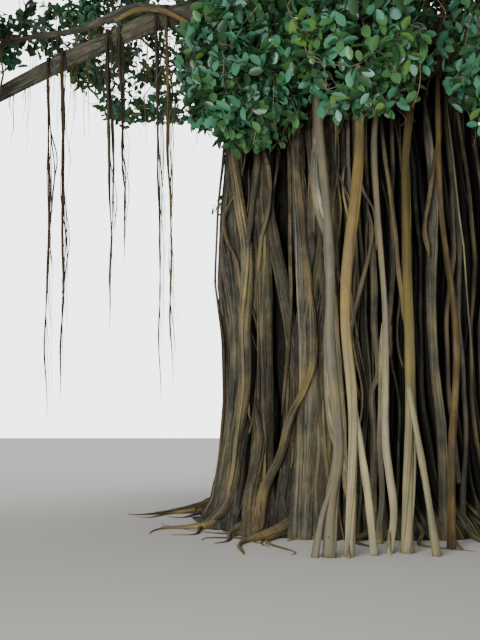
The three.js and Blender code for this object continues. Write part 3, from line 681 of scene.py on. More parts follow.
def set_inputs(tree, node, inputs):
    """Gives each named input of a node its value, or a link where that is another node's output."""
    for key, value in inputs.items():
        if isinstance(value, bpy.types.NodeSocket):
            tree.links.new(value, node.inputs[key])
        else:
            node.inputs[key].default_value = value


def add_node(tree, kind, inputs, **settings):
    """A shader node with its settings and inputs."""
    node = tree.nodes.new(kind)
    for key, value in settings.items():
        setattr(node, key, value)
    set_inputs(tree, node, inputs)
    return node


def math_node(tree, operation, first, second, clamp=False):
    """The result of one sum on two numbers."""
    inputs = {0: first, 1: second}
    return add_node(tree, "ShaderNodeMath", inputs, operation=operation, use_clamp=clamp).outputs[0]


def ramp(tree, factor, stops):
    """A colour ramp through (place, colour) stops."""
    node = add_node(tree, "ShaderNodeValToRGB", {"Fac": factor})
    elements = node.color_ramp.elements
    while len(elements) < len(stops):
        elements.new(0.5)
    for element, (place, colour) in zip(elements, stops):
        element.position = place
        element.color = (*colour, 1)
    return node.outputs["Color"]


def mix_colours(tree, factor, first, second):
    """The first colour where the factor is 0 and the second where it is 1. The Mix node's sockets for colours
    are numbers 6 and 7, and 2 on the way out."""
    inputs = {0: factor, 6: first, 7: second}
    return add_node(tree, "ShaderNodeMix", inputs, data_type="RGBA").outputs[2]


def make_bark_group():
    """Bark of a root or limb: long streaks and fine fibres that follow its grain, rings across it, and
    patches of lichen and moss, darkened towards near black where the look asks for painted shade. It puts out
    the colour, the roughness and the height of the relief."""
    group = bpy.data.node_groups.new("bark_pattern", "ShaderNodeTree")
    for name in ("Contrast", "Lichen", "Moss", "Film"):
        group.interface.new_socket(name, in_out="INPUT", socket_type="NodeSocketFloat")
    for name, kind in (("Color", "Color"), ("Roughness", "Float"), ("Height", "Float")):
        group.interface.new_socket(name, in_out="OUTPUT", socket_type=f"NodeSocket{kind}")
    given = add_node(group, "NodeGroupInput", {}).outputs
    place = add_node(group, "ShaderNodeTexCoord", {}).outputs["Object"]
    grain = add_node(group, "ShaderNodeAttribute", {}, attribute_name="grain").outputs["Vector"]
    look = add_node(group, "ShaderNodeAttribute", {}, attribute_name="look").outputs["Vector"]
    tone, warmth, shade = add_node(group, "ShaderNodeSeparateXYZ", {0: look}).outputs

    def total(first, second, clamp=False):
        return math_node(group, "ADD", first, second, clamp)

    def times(first, second):
        return math_node(group, "MULTIPLY", first, second)

    def noise(vector, scale, detail, low, high, stretch=(1, 1, 1)):
        """A noise whose values from low to high are spread to 0 to 1."""
        mapped = add_node(group, "ShaderNodeMapping", {"Vector": vector, "Scale": stretch}).outputs[0]
        inputs = {"Vector": mapped, "Scale": scale, "Detail": detail}
        value = add_node(group, "ShaderNodeTexNoise", inputs).outputs["Fac"]
        inputs = {"Value": value, "From Min": low, "From Max": high}
        return add_node(group, "ShaderNodeMapRange", inputs).outputs["Result"]

    streak = noise(grain, 15, 4, 0.3, 0.7, (1, 1, 0.06))
    fibre = noise(grain, 55, 3, 0.3, 0.7, (1, 1, 0.08))
    rings = noise(grain, 9, 3, 0.35, 0.65, (0.35, 0.35, 2.2))
    cloud = noise(place, 1.7, 4, 0.35, 0.65)
    spots = noise(grain, 13, 5, 0.54, 0.68, (1, 1, 0.3))
    damp = noise(place, 0.9, 5, 0.45, 0.7)

    fine = times(fibre, 0.15)
    mottle = total(total(times(streak, 0.45), fine), times(cloud, 0.4))
    varied = total(tone, times(total(mottle, -0.5), given["Contrast"]), clamp=True)
    warm = total(warmth, times(total(cloud, -0.5), 0.5), clamp=True)
    bark = mix_colours(group, warm, ramp(group, varied, GREY_BARK), ramp(group, varied, WARM_BARK))
    patched = mix_colours(group, times(spots, given["Lichen"]), bark, LICHEN)
    mossy = mix_colours(group, times(damp, given["Moss"]), patched, MOSS)
    filmed = mix_colours(group, given["Film"], mossy, GREEN_FILM)
    outputs = {
        # Painted shade: the colour goes towards near black as far as the look's shade asks
        "Color": mix_colours(group, shade, filmed, PAINTED_SHADE_COLOUR),
        "Roughness": total(times(fibre, 0.2), 0.68),
        "Height": total(total(times(streak, 0.6), fine), times(rings, 0.25)),
    }
    add_node(group, "NodeGroupOutput", outputs)
    return group


def new_material(name):
    """A material, its node tree and its shader."""
    material = bpy.data.materials.new(name)
    material.use_nodes = True
    return material, material.node_tree, material.node_tree.nodes["Principled BSDF"]


def bark_material(name, group, contrast, lichen, moss, relief, film=0.0):
    """A bark from the shared pattern, with its own values."""
    material, tree, shader = new_material(name)
    inputs = {"Contrast": contrast, "Lichen": lichen, "Moss": moss, "Film": film}
    pattern = add_node(tree, "ShaderNodeGroup", inputs, node_tree=group).outputs
    inputs = {"Height": pattern["Height"], "Distance": relief, "Strength": 1.0}
    bump = add_node(tree, "ShaderNodeBump", inputs)
    set_inputs(tree, shader, {
        "Base Color": pattern["Color"],
        "Roughness": pattern["Roughness"],
        "Normal": bump.outputs["Normal"],
        "Specular IOR Level": 0.2,
    })
    return material


def plain_material(name, colour, roughness, specular):
    """A material of one colour."""
    material, tree, shader = new_material(name)
    inputs = {"Base Color": (*colour, 1), "Roughness": roughness, "Specular IOR Level": specular}
    set_inputs(tree, shader, inputs)
    return material


# Trunk


def trunk_reach(degrees, height):
    """Distance from the axis to the trunk's surface: the mean radius at that height, times a rounded square's
    (|cos|^n + |sin|^n)^(-1/n)."""
    outline = np.array(TRUNK_OUTLINE)
    turn = np.radians(degrees)
    square = (np.abs(np.cos(turn)) ** SQUARENESS + np.abs(np.sin(turn)) ** SQUARENESS) ** (-1 / SQUARENESS)
    return np.interp(height, outline[:, 0], outline[:, 1]) * square


def depth_in_trunk(points):
    """How far points lie behind the trunk's surface, level with them."""
    degrees = np.degrees(np.arctan2(points[:, 1], points[:, 0]))
    return trunk_reach(degrees, points[:, 2]) - np.hypot(points[:, 0], points[:, 1])


def set_back(degrees, height):
    """How far the trunk is set back in its bays and gaps: a parabola round each one's angle, to the power
    0.7, which fades out at its lower and upper end."""
    total = 0
    for angle, half, deep, low, high in BAYS + GAPS:
        away = (degrees - angle + 180) % 360 - 180
        bay = deep * np.clip(1 - (away / half) ** 2, 0, 1) ** 0.7
        total = total + bay * smoothstep(height, low, low + 0.8) * (1 - smoothstep(height, high, high + 1.4))
    return total


def wander(phases, height, scale=1.0):
    """Degrees round the trunk: three sines up the trunk, each with its strand's own phase."""
    return scale * sum(
        size * np.sin(2 * np.pi * height / length + phases[:, wave : wave + 1])
        for wave, (size, length) in enumerate(WANDER)
    )


def rising(low, high, steps):
    """Heights from low to high, one row for each strand, closer together near the ground."""
    share = np.linspace(0, 1, steps) ** 1.2
    return low[:, None] + (high - low)[:, None] * share


def strand_look(rng, kind, deep):
    """A tone and warmth for each strand of a kind, both lowered where it lies deep in a bay: painted shade.
    """
    bay_shade = smoothstep(deep, 0.15, 0.7)
    tone = rng.uniform(*kind["tone"], (kind["count"], 1)) * (1 - 0.35 * bay_shade)
    warmth = rng.uniform(*kind["warmth"], (kind["count"], 1)) * (1 - 0.5 * bay_shade)
    return np.stack([tone, warmth, 0 * tone], axis=-1)


def strands(rng, run, look, sides, fluted, seed):
    """Upright tubes on the trunk: each centre stands out from the trunk's surface as its run says, and rings
    are level and wider at the ground. The bark gets painted shade of the crown from one height up, and what
    lies between the tubes, behind the trunk's surface, gets painted shade that is nearly black."""
    degrees, height, stand, radii = run
    look = np.broadcast_to(look, (*height.shape, 3)).copy()
    # Painted shade of the crown: a strand's tone is lowered from one height up
    look[..., 0] -= PAINTED_CROWN_SHADE["darker"] * smoothstep(height, *PAINTED_CROWN_SHADE["between"])
    out = heading(np.radians(degrees))
    flare = 1 + FOOT_FLARE * np.exp(-height / FOOT_HEIGHT)
    rings = fluted_rings(rng, radii * flare, sides, fluted=fluted)
    centres = polar(degrees, trunk_reach(degrees, height) + stand, height)
    shape = tube(centres, out, np.cross([0, 0, 1.0], out), rings, look, seed)
    # Painted shade: points behind the trunk's surface, between the strands, are darkened towards near black
    shade = PAINTED_CREVICE_SHADE["shade"] * smoothstep(depth_in_trunk(shape.points), *PAINTED_CREVICE_SHADE["between"])
    shape.look[:, 2] = np.maximum(shape.look[:, 2], shade)
    return shape


def strands_of(rng, kind, degrees, height, stand, radii, deep):
    """The strands of one kind, whose look gets painted shade with how deep they lie in the bays."""
    look = strand_look(rng, kind, deep)
    return strands(rng, Run(degrees, height, stand, radii), look, kind["sides"], kind["fluted"], kind["seed"])


def ridges_on(rng, run, look, count, seed):
    """Fine ridges that lie half sunk on given strands: each wanders over its strand's outer side, where a
    place u of the way across stands out by the square root of 1 - u^2 of the strand's radius."""
    chosen = rng.integers(0, len(run.height), count)
    degrees, height, stand, radii = (part[chosen] for part in run)
    phase = rng.uniform(0, 6, (count, 1))
    across = rng.uniform(-0.75, 0.75, (count, 1))
    across = across + 0.22 * np.sin(height * rng.uniform(0.8, 2.0, (count, 1)) + phase)
    across = np.clip(across, -0.92, 0.92)
    degrees = degrees + np.degrees(across * radii / MEAN_RADIUS)
    stand = stand + radii * (np.sqrt(1 - across**2) - 0.02)
    thick = np.minimum(rng.uniform(0.012, 0.034, (count, 1)), radii * 0.4)
    tint = look[chosen]
    tint[..., 0] += rng.uniform(-0.1, 0.14, (count, 1))
    tint[..., 1] += rng.uniform(-0.15, 0.2, (count, 1))
    thick = thick * knots(rng, *height.shape, 0.5)
    return strands(rng, Run(degrees, height, stand, thick), tint, 6, 0.6, seed)


def trunk_core():
    """The body behind the strands, dark with painted shade: one tube up the axis, set in from the trunk's
    surface, with ripples of two widths round it."""
    steps, sides = 80, 200
    height = np.linspace(0, 10.6, steps)
    degrees = np.linspace(0, 360, sides, endpoint=False)
    around, up = np.meshgrid(degrees, height)
    ripple = 0.05 * np.sin(np.radians(around) * 31 + 2 * np.sin(up / 1.7))
    ripple = ripple + 0.03 * np.sin(np.radians(around) * 67)
    radii = np.maximum(trunk_reach(around, up) - 0.3 - 1.1 * set_back(around, up) + ripple, 0.2)
    centres = polar(0, 0, height)[None]
    return tube(centres, *level_rings(centres), radii[None], CORE_LOOK, 5)


def stout_strands(rng):
    """Stout roots side by side, and fine ridges on them. Their angles and the phases of their wander come
    with them, because the lesser ones fork from them."""
    kind = STRANDS["stout"]
    count = kind["count"]
    angles = (np.arange(count) + rng.uniform(-0.32, 0.32, count))[:, None] * 360 / count
    phases = 2 * np.pi * rng.random((count, 3))
    height = rising(np.zeros(count), rng.uniform(9.3, 10.3, count), kind["steps"])
    degrees = angles + wander(phases, height)
    radii = rng.uniform(*kind["radius"], (count, 1))
    deep = set_back(degrees, height)
    stand = -1.05 * radii + rng.uniform(-0.1, 0.05, (count, 1)) - deep * rng.uniform(0.7, 1.0, (count, 1))
    look = strand_look(rng, kind, deep)
    run = Run(degrees, height, stand, radii * (1 - 0.35 * height / 10.3))
    stout = strands(rng, run, look, kind["sides"], kind["fluted"], kind["seed"])
    return angles, phases, stout, ridges_on(rng, run, look, STOUT_RIDGES, 300)


def lesser_strands(rng, angles, phases):
    """Lesser roots that follow a stout one down, leave it where they fork and stand beside it."""
    kind = STRANDS["lesser"]
    count = kind["count"]
    parent = rng.integers(0, len(angles), count)
    fork = rng.uniform(1.2, 8.5, count)
    height = rising(np.zeros(count), fork + 1.2, kind["steps"])
    aside = rng.choice([-1, 1], (count, 1)) * rng.uniform(2, 5, (count, 1))
    left = smoothstep(fork[:, None] - height, 0, 2.2)
    degrees = angles[parent] + wander(phases[parent], height) + aside * (0.3 + 0.7 * left)
    radii = rng.uniform(*kind["radius"], (count, 1))
    deep = set_back(degrees, height)
    stand = -0.02 - 0.3 * radii - deep * rng.uniform(0.4, 1.0, (count, 1))
    taper = 1 - 0.8 * smoothstep(height, fork[:, None] + 0.4, fork[:, None] + 1.2)
    return strands_of(rng, kind, degrees, height, stand, radii * taper, deep)


def crossing_strands(rng):
    """Thin roots that slant over the others. Two in three start at the ground."""
    kind = STRANDS["thin"]
    count = kind["count"]
    low = rng.choice([0, 0, 1], count) * rng.uniform(0.5, 4, count)
    height = rising(low, rng.uniform(5.5, 9, count), kind["steps"])
    degrees = rng.uniform(0, 360, (count, 1)) + wander(2 * np.pi * rng.random((count, 3)), height, 1.2)
    degrees = degrees + rng.uniform(-1.2, 1.2, (count, 1)) * (height - 3)
    radii = rng.uniform(*kind["radius"], (count, 1))
    deep = set_back(degrees, height)
    stand = radii + rng.uniform(-0.02, 0.03, (count, 1)) - deep * rng.uniform(0.1, 0.9, (count, 1))
    return strands_of(rng, kind, degrees, height, stand, radii, deep)


def bay_strands(rng):
    """Thin roots that hang one behind the other in the bays. Three in four start at the ground."""
    kind = STRANDS["hanging"]
    count = kind["count"]
    bay = rng.choice(len(BAYS), count, p=BAY_SHARES)
    middle, half = np.array(BAYS)[bay, :2].T[..., None]
    low = rng.choice([0, 0, 0, 1], count) * rng.uniform(0.3, 3, count)
    height = rising(low, rng.uniform(7, 9, count), kind["steps"])
    degrees = middle + half * rng.uniform(-0.95, 0.95, (count, 1))
    degrees = degrees + rng.uniform(-0.9, 0.9, (count, 1)) * (height - 4)
    degrees = degrees + wander(2 * np.pi * rng.random((count, 3)), height, 0.35)
    radii = rng.uniform(*kind["radius"], (count, 1))
    stand = -0.05 - set_back(degrees, height) * rng.uniform(0.0, 0.95, (count, 1))
    return strands_of(rng, kind, degrees, height, stand, radii, -stand)


def front_strands():
    """The strands placed one by one: their points lie on the front of the trunk's rounded square, where
    y = -(R^n - |x|^n)^(1/n). Each tapers at its top, and at its foot where that is off the ground. A stout
    one carries ridges."""
    rng = np.random.default_rng(12)
    steps = 68
    made = []
    for number, (way, stand, radii, look) in enumerate(FRONT_STRANDS.values()):
        x, height = smooth_path(way, steps).T
        mean = trunk_reach(0, height)
        y = -np.maximum(mean**SQUARENESS - np.abs(x) ** SQUARENESS, 0.01) ** (1 / SQUARENESS)
        degrees = np.degrees(np.arctan2(y, x))
        offset = stand + np.hypot(x, y) - trunk_reach(degrees, height)
        radius = np.linspace(*radii, steps) * np.minimum(1, np.linspace(8, 0.2, steps))
        if height[0] > 0.2:
            radius = radius * np.minimum(1, np.linspace(0.25, 12, steps))
        run = Run(*(part[None] for part in (degrees, height, offset, np.maximum(radius, 0.004))))
        look = np.broadcast_to([*look, 0.0], (1, steps, 3))
        made.append(strands(rng, run, look, 16, 1.1, 600 + number))
        if radii[0] > 0.07:
            made.append(ridges_on(rng, run, look, 5, 640 + number))
    return joined(made)


def surface_root(rng, angle, start, end, sway, radii, rise, seed):
    """A root that runs out along the ground from one distance to another: it sways and winds, and sinks into
    the ground as it thins."""
    share = np.linspace(0, 1, 44)
    winding = np.sin(share * rng.uniform(5, 8) + rng.uniform(0, 6)) * share
    degrees = angle + sway * share**1.3 + 22 / end * winding
    radius = radii[0] + (radii[1] - radii[0]) * share**0.8
    height = rise * (1 - share) ** 3 + radius * (0.35 - 0.55 * share)
    centres = polar(degrees, start + (end - start) * share, height)[None]
    rings = fluted_rings(rng, radius[None], 8, 0.15)
    look = [rng.uniform(0.35, 0.6), rng.uniform(0.3, 0.9), 0.0]
    return above_ground(tube(centres, *square_to(centres, [0, 0, 1.0]), rings, look, seed))


def surface_roots():
    """Roots that run out of the trunk's foot and sink into the ground: the main ones, each with two forks,
    and thinner ones all round."""
    rng = np.random.default_rng(13)
    sizes = SURFACE_ROOTS
    thick = sizes["radius"]
    made = []
    for index, angle in enumerate(sizes["angles"]):
        end = sizes["end"] * (0.86 + 0.2 * chance(index + 3))
        sway = 14 * (chance(index + 11) - 0.5)
        for row in (
            (angle, sizes["start"], end, sway, [thick, 0.012], sizes["start_height"], 700 + index),
            (angle + sway * 0.3, 3.3, end * 0.95, sway + 9, [thick * 0.4, 0.008], 0.06, 740 + index),
            (angle + sway * 0.2, 3.15, end * 0.88, sway - 12, [thick * 0.35, 0.008], 0.08, 760 + index),
        ):
            made.append(surface_root(rng, *row))
    for index in range(THIN_SURFACE_ROOTS):
        angle = index * 360 / THIN_SURFACE_ROOTS + rng.uniform(-6, 6)
        end = rng.uniform(3.3, 4.2)
        sway = rng.uniform(-14, 14)
        radii = [rng.uniform(0.04, 0.09), 0.006]
        made.append(surface_root(rng, angle, 2.6, end, sway, radii, 0.35, 780 + index))
    return joined(made)


# Boughs


def bough_path(start, tip, arch):
    """Out of the trunk, up to the crest of the arch, and over and down to the tip."""
    angle, height = start
    tip_angle, reach, tip_height = tip
    inside = 0.45
    crest = reach * 0.45
    swing = tip_angle - angle
    way = [
        polar(angle, inside, height),
        polar(angle + swing * 0.2, (inside + crest) / 2, height + (arch - height) * 0.62),
        polar(angle + swing * 0.45, crest, arch),
        polar(angle + swing * 0.75, crest + (reach - crest) * 0.52, arch + (tip_height - arch) * 0.46),
        polar(tip_angle, reach, tip_height),
    ]
    return smooth_path(way, BOUGH_STEPS)


def all_bough_paths():
    """The paths of the boughs, of the leader that carries the top, and of the side bough, which leaves the
    left one."""
    paths = {name: bough_path(start, tip, arch) for name, (start, tip, arch, radii) in BOUGHS.items()}
    base, height, sway = LEADER["base"], LEADER["height"], LEADER["sway"]
    middle = base + (height - base) * 0.55
    leader = [[0, 0, base], [sway, sway / 2, middle], [sway / 3, sway, height]]
    paths["leader"] = smooth_path(leader, BOUGH_STEPS)
    start = point_out_at(paths["left"], SIDE_BOUGH["along"])
    end = polar(*SIDE_BOUGH["to"])
    near = start + (end - start) * 0.3
    near[2] = start[2] + SIDE_BOUGH["rise"]
    far = start + (end - start) * 0.65
    far[2] = end[2] + SIDE_BOUGH["rise"] / 3
    paths["left_side"] = smooth_path([start, near, far, end], BOUGH_STEPS)
    return paths


def hanging_threads(rng, path, radius, count, longest, seed):
    """Thin roots that hang free from a bough's underside and curl a little: each starts inside the bough."""
    spot = rng.integers(len(path) // 5, len(path) - 1, count)
    share = np.linspace(0, 1, 16)
    length = longest * rng.uniform(0.15, 1, (count, 1)) ** 1.5
    centres = np.repeat(path[spot][:, None], len(share), axis=1)
    centres[..., 2] -= radius[spot][:, None] * 0.7 + length * share
    for axis in (0, 1):
        pace = rng.uniform(2, 9, (count, 1))
        sway = rng.uniform(0.01, 0.06, (count, 1)) * np.sin(share * pace + rng.uniform(0, 6, (count, 1)))
        centres[..., axis] += rng.uniform(-0.7, 0.7, (count, 1)) * radius[spot][:, None] + sway * share
    thick = rng.uniform(0.004, 0.012, (count, 1)) * (1.1 - 0.6 * share) * knots(rng, count, len(share), 0.3)
    tone = rng.uniform(0.3, 0.6, (count, 1))
    look = np.stack([tone, rng.uniform(0.1, 0.9, (count, 1)), 0 * tone], axis=-1)
    return tube(centres, *level_rings(centres), round_rings(thick, 4), look, seed)


def gripping_roots(rng, centres, out, side, radius, look, seed):
    """Thin roots that grip a bough: each lies on its surface, and winds round it on its way."""
    count = 5
    share = np.linspace(0, 1, len(radius))
    turn = 2 * np.pi * (rng.random((count, 1)) + rng.uniform(-0.6, 0.6, (count, 1)) * share)
    turn = turn + 0.4 * np.sin(share * 2 * np.pi * rng.uniform(2, 4, (count, 1)))
    lean = np.cos(turn)[..., None] * out + np.sin(turn)[..., None] * side
    path = centres + lean * radius[:, None]
    thick = (0.01 + 0.1 * rng.random((count, 1)) * radius) * knots(rng, count, len(radius))
    beside = np.cross(unit(np.gradient(path, axis=1)), lean)
    return tube(path, lean, beside, round_rings(thick, 6), look, seed)


def bough_shape(path, radii, look, threads, seed):
    """A bough with a wider collar at the trunk, knots and fluted bark, thin roots that grip it, and threads
    that hang from it: how many, and the longest."""
    rng = np.random.default_rng(seed)
    steps = 70
    look = [*look, 0.0]
    line = spaced(path, steps)
    centres = line[None]
    upright = abs(path[-1, 0] - path[0, 0]) <= 0.3
    level = [1.0, 0, 0] if upright else unit(np.cross([0, 0, 1.0], path[-1] - path[0]))
    out, side = square_to(centres, level)
    way = np.linspace(0, np.linalg.norm(np.diff(path, axis=0), axis=1).sum(), steps)
    radius = np.linspace(*radii, steps) * (1 + 0.5 * np.exp(-way / BOUGH_COLLAR))
    rings = fluted_rings(rng, radius[None], 18, 0.16, 0.8)
    return joined([
        tube(centres, out, side, rings, look, seed),
        gripping_roots(rng, centres, out, side, radius, look, seed + 40),
        hanging_threads(rng, line, radius, *threads, seed + 45),
    ])


def strut_shape():
    """The slender root that slopes from the left bough to the trunk."""
    rng = np.random.default_rng(77)
    way, radii, look = STRUT
    steps = 60
    centres = smooth_path(way, steps)[None]
    rings = fluted_rings(rng, np.linspace(*radii, steps)[None], 12, 0.15)
    return tube(centres, *square_to(centres, [0, 0.3, 1.0]), rings, [*look, 0.0], 1900)


# Prop roots and hanging roots


def way_to_bough(root, paths):
    """A prop root's way from the ground to the bough that it hangs from."""
    return [*root["way"], point_out_at(paths[root["bough"]], root["along"])]


def root_tint(look, share):
    """A root's look along its way: tone and warmth pass from the foot's to the top's, and the look's shade is
    0; where the top is darker, that is partly the root's own colour and partly painted shade of the crown.
    """
    foot, top = np.array(look)
    tint = foot + (top - foot) * smoothstep(share[:, None], 0.05, 0.5)
    return np.concatenate([tint, np.zeros((len(share), 1))], axis=1)[None]


def prop_tube(rng, way, radii, look, sides, steps, seed, sway=0.0):
    """A root that stands on the ground, with level rings, which sways a little between its two ends. Its path
    comes with it."""
    path = smooth_path(way, steps)
    path[0, 2] = 0
    share = np.linspace(0, 1, steps)
    pace = rng.uniform(9, 15, 2)
    phase = rng.uniform(0, 6, 2)
    path[:, :2] += sway * np.sin(share[:, None] * pace + phase) * np.sin(np.pi * share[:, None])
    radius = np.linspace(*radii, steps) * (1 + 0.25 * np.exp(-path[:, 2] / 0.12))
    rings = fluted_rings(rng, radius[None], sides, 0.1, 0.7)
    return tube(path[None], *level_rings(path[None]), rings, root_tint(look, share), seed), path


def rootlet(rng, foot, look, seed):
    """A short thin root that leaves a foot above the ground and reaches the ground beside it."""
    turn = rng.uniform(0, 2 * np.pi)
    reach = rng.uniform(0.08, 0.18)
    high = rng.uniform(0.12, 0.3)
    spread = heading(turn) * reach
    way = [foot + spread, foot + spread * 0.55 + [0, 0, high * 0.3], foot + [0, 0, high]]
    return prop_tube(rng, way, [0.008, 0.014], look, 6, 12, seed)[0]


def fused_strand(rng, path, radius, look, index, seed):
    """A thinner root that winds round a prop root and sinks in and out of its bark."""
    share = np.linspace(0, 1, len(path))
    turn = rng.uniform(0, 6) + rng.uniform(1, 5) * share + 0.7 * np.sin(share * rng.uniform(6, 14))
    lift = radius * (0.75 + 0.35 * np.sin(share * rng.uniform(8, 20) + index))
    centres = (path + heading(turn) * lift[:, None])[None]
    thick = radius * rng.uniform(0.16, 0.34) * knots(rng, 1, len(path), 0.3)
    tint = root_tint(look, share)
    tint[..., 0] -= 0.05 * index
    return tube(centres, *level_rings(centres), round_rings(thick, 6), tint, seed)


def prop_root_shape(root, paths, seed):
    """The main root with thinner ones fused on it, its second leg, and a few rootlets at its foot."""
    rng = np.random.default_rng(seed)
    look = root["look"]
    steps = 100
    main, path = prop_tube(rng, way_to_bough(root, paths), root["radii"], look, 16, steps, seed, PROP_SWAY)
    shapes = [main]
    if "leg" in root:
        way, radii = root["leg"]
        shapes.append(prop_tube(rng, way, radii, [look[0], look[0]], 12, 40, seed + 1)[0])
    for index in range(3):
        shapes.append(rootlet(rng, np.array(root["way"][0]), look, seed + 2 + index))
    for index in range(3):
        radius = np.linspace(*root["radii"], steps)
        shapes.append(fused_strand(rng, path, radius, look, index, seed + 9 + index))
    return above_ground(joined(shapes))


def plain_prop_root(bough, foot, aside, along, radius, index):
    """A prop root that leans in a little as it climbs to its bough."""
    angle = BOUGHS[bough][0][0]
    waist = foot + (along - foot) * 0.35
    shift = 2 * (chance(index + 21) - 0.5)
    return {
        "way": [
            polar(angle + aside, foot, 0),
            polar(angle + aside + shift, waist + 0.06, 2.6),
            polar(angle + aside * 0.6, waist + (along - waist) * 0.4, 5.6),
        ],
        "bough": bough,
        "along": along,
        "radii": [radius * PROP_FLARE, radius * 0.8],
        "look": [[0.45 + 0.25 * chance(index + 5), 0.2 + 0.5 * chance(index + 8)]] * 2,
    }


def hanging_root_shape(along, low_end, radius, look, path, bough_radius, seed):
    """A bundle of roots that hangs free: it starts over the bough, on the side that faces -Y, and sways a
    little. The first root is the thickest, and the others part from it and meet it, each with a lower end at
    a height of its own."""
    rng = np.random.default_rng(seed)
    top = point_out_at(path, along)
    inward = -np.array([top[0], top[1], 0])
    inward = inward / np.linalg.norm(inward) * HANGING_LEAN
    low = top + inward
    low[2] = low_end
    swing = np.cross([0, 0, 1.0], inward) / HANGING_LEAN * radius
    front = np.array([0, -1.0, 0]) * (bough_radius + radius)
    over = [top + front, top + front * 0.8 + [0, 0, bough_radius * 0.8], top + [0, 0, bough_radius]]
    rise = top - low
    steps = 70
    path = smooth_path([low, low + rise * 0.33 - swing, low + rise * 0.67 + swing, *over], steps)
    share = np.linspace(0, 1, steps)
    for axis in (0, 1):
        sway = np.sin(share * rng.uniform(9, 16) + rng.uniform(0, 6))
        sway = sway + 0.5 * np.sin(share * rng.uniform(20, 34))
        path[:, axis] += HANGING_SWAY * 0.5 * sway * (1 - share)
    count = 8
    turn = 2 * np.pi * (rng.random((count, 1)) + share * rng.uniform(0.5, 1.6, (count, 1)))
    apart = radius * rng.uniform(0.6, 2.8, (count, 1)) * (0.55 + 0.45 * np.sin(share * 11 + turn[:, :1]))
    apart[0] = 0
    centres = path + apart[..., None] * heading(turn)
    shorter = rng.uniform(0, 0.45, (count, 1))
    shorter[0] = 0
    centres[..., 2] = centres[..., 2] + shorter * (centres[:, -1:, 2] - centres[..., 2])
    thick = rng.uniform(0.14, 0.4, (count, 1))
    thick[0] = 0.7
    taper = (0.55 + 0.6 * share) * np.minimum(1, 0.15 + share * 6)
    rings = fluted_rings(rng, radius * thick * taper, 6, 0.4)
    return tube(centres, *level_rings(centres), rings, [*look, 0.0], seed)


# Growth of the foliage


def place_in(mass, directions, depth):
    """Places in a mass: directions from its middle, scaled by its radii, turned to the mass's angle."""
    return turned(directions * mass.radii * depth, mass.at[0]) + polar(*mass.at)


def reach_in(mass, points, bosses):
    """How far out points lie in a mass: 0 in its middle, 1 on its outline, which swells out round each boss
    as a Gaussian of the distance to the nearest one, and lies further in by its billow between them."""
    scaled = turned(points - polar(*mass.at), -mass.at[0]) / mass.radii
    near = np.linalg.norm(unit(scaled)[..., None, :] - bosses, axis=-1).min(-1)
    swell = np.exp(-((near / BILLOWS["width"]) ** 2))
    return np.linalg.norm(scaled, axis=-1) / (1 - mass.growth["billow"] * (1 - swell))


def stray(directions, seeds):
    """Directions moved a little by three chances each."""
    moved = chance(seeds[:, None] + np.array([0, 0.3, 0.6])) - 0.5
    return unit(moved * JITTER + directions)


def in_own_space(points, middle, others, overlap):
    """True where a point is nearer to its mass's middle than to any other's, give or take the overlap."""
    inside = np.ones(len(points), bool)
    for other in others:
        between = other - middle
        length = np.linalg.norm(between)
        if length > 0.01:
            inside &= (points - middle) @ (between / length) <= length / 2 + overlap
    return inside


def clear_of_limbs(points, limb_points, limb_radii, room):
    """True where a point is outside the trunk and every limb, with room to spare."""
    trunk_top = TRUNK_OUTLINE[-1][0]
    clear = (depth_in_trunk(points) <= -room) | (points[:, 2] >= trunk_top)
    low, high = points.min(0) - 1, points.max(0) + 1
    near = np.all((limb_points > low) & (limb_points < high), axis=1)
    for start in range(0, len(points), 2000):
        part = points[start : start + 2000]
        away = np.linalg.norm(part[:, None] - limb_points[None, near], axis=2) - limb_radii[near]
        if away.shape[1]:
            clear[start : start + 2000] &= away.min(1) > room
    return clear


def grow(nodes, way, parents, points):
    """Joins each point in turn, those nearest to the stem first, to the node that gives the best way back:
    the smallest sum of the distance to it and a share of the way from it to the stem."""
    for point in points[np.argsort(np.linalg.norm(points - nodes[0], axis=1))]:
        known = np.array(nodes)
        distance = np.linalg.norm(known - point, axis=1)
        best = int(np.argmin(distance + THRIFT * np.array(way)))
        nodes.append(point)
        way.append(way[best] + distance[best])
        parents.append(best)


def grow_twigs(rng, mass, others, limbs):
    """A mass's forks and twigs: the nodes, the stem's end first, each node's parent, and the number of the
    first twig's end."""
    middle = polar(*mass.at)
    nodes, way, parents = [mass.stem.start + mass.stem.along * mass.stem.length], [0.0], [-1]
    for level, (count, depth) in enumerate(mass.growth["forks"]):
        seeds = mass.seed + np.arange(count) + 20 * level
        points = place_in(mass, stray(lattice(count), seeds), depth)
        points = points[in_own_space(points, middle, others, -0.1)]
        grow(nodes, way, parents, points[clear_of_limbs(points, *limbs, 0.1)])
    first = len(nodes)
    ends = int(mass.growth["ends"] * mass.full)
    directions = unit(lattice(ends) + rng.normal(0, 0.12, (ends, 3)))
    points = place_in(mass, directions, rng.uniform(0.5, 0.95, (ends, 1)))
    points = points[in_own_space(points, middle, others, 0)]
    grow(nodes, way, parents, points[clear_of_limbs(points, *limbs, 0.12)])
    return np.array(nodes), np.array(parents), first


def twig_loads(parents, first):
    """How many twigs' ends each node carries, and at least 1."""
    loads = np.zeros(len(parents))
    loads[first:] = 1
    for index in range(len(parents) - 1, 0, -1):
        loads[parents[index]] += max(loads[index], 1)
    return np.maximum(loads, 1)


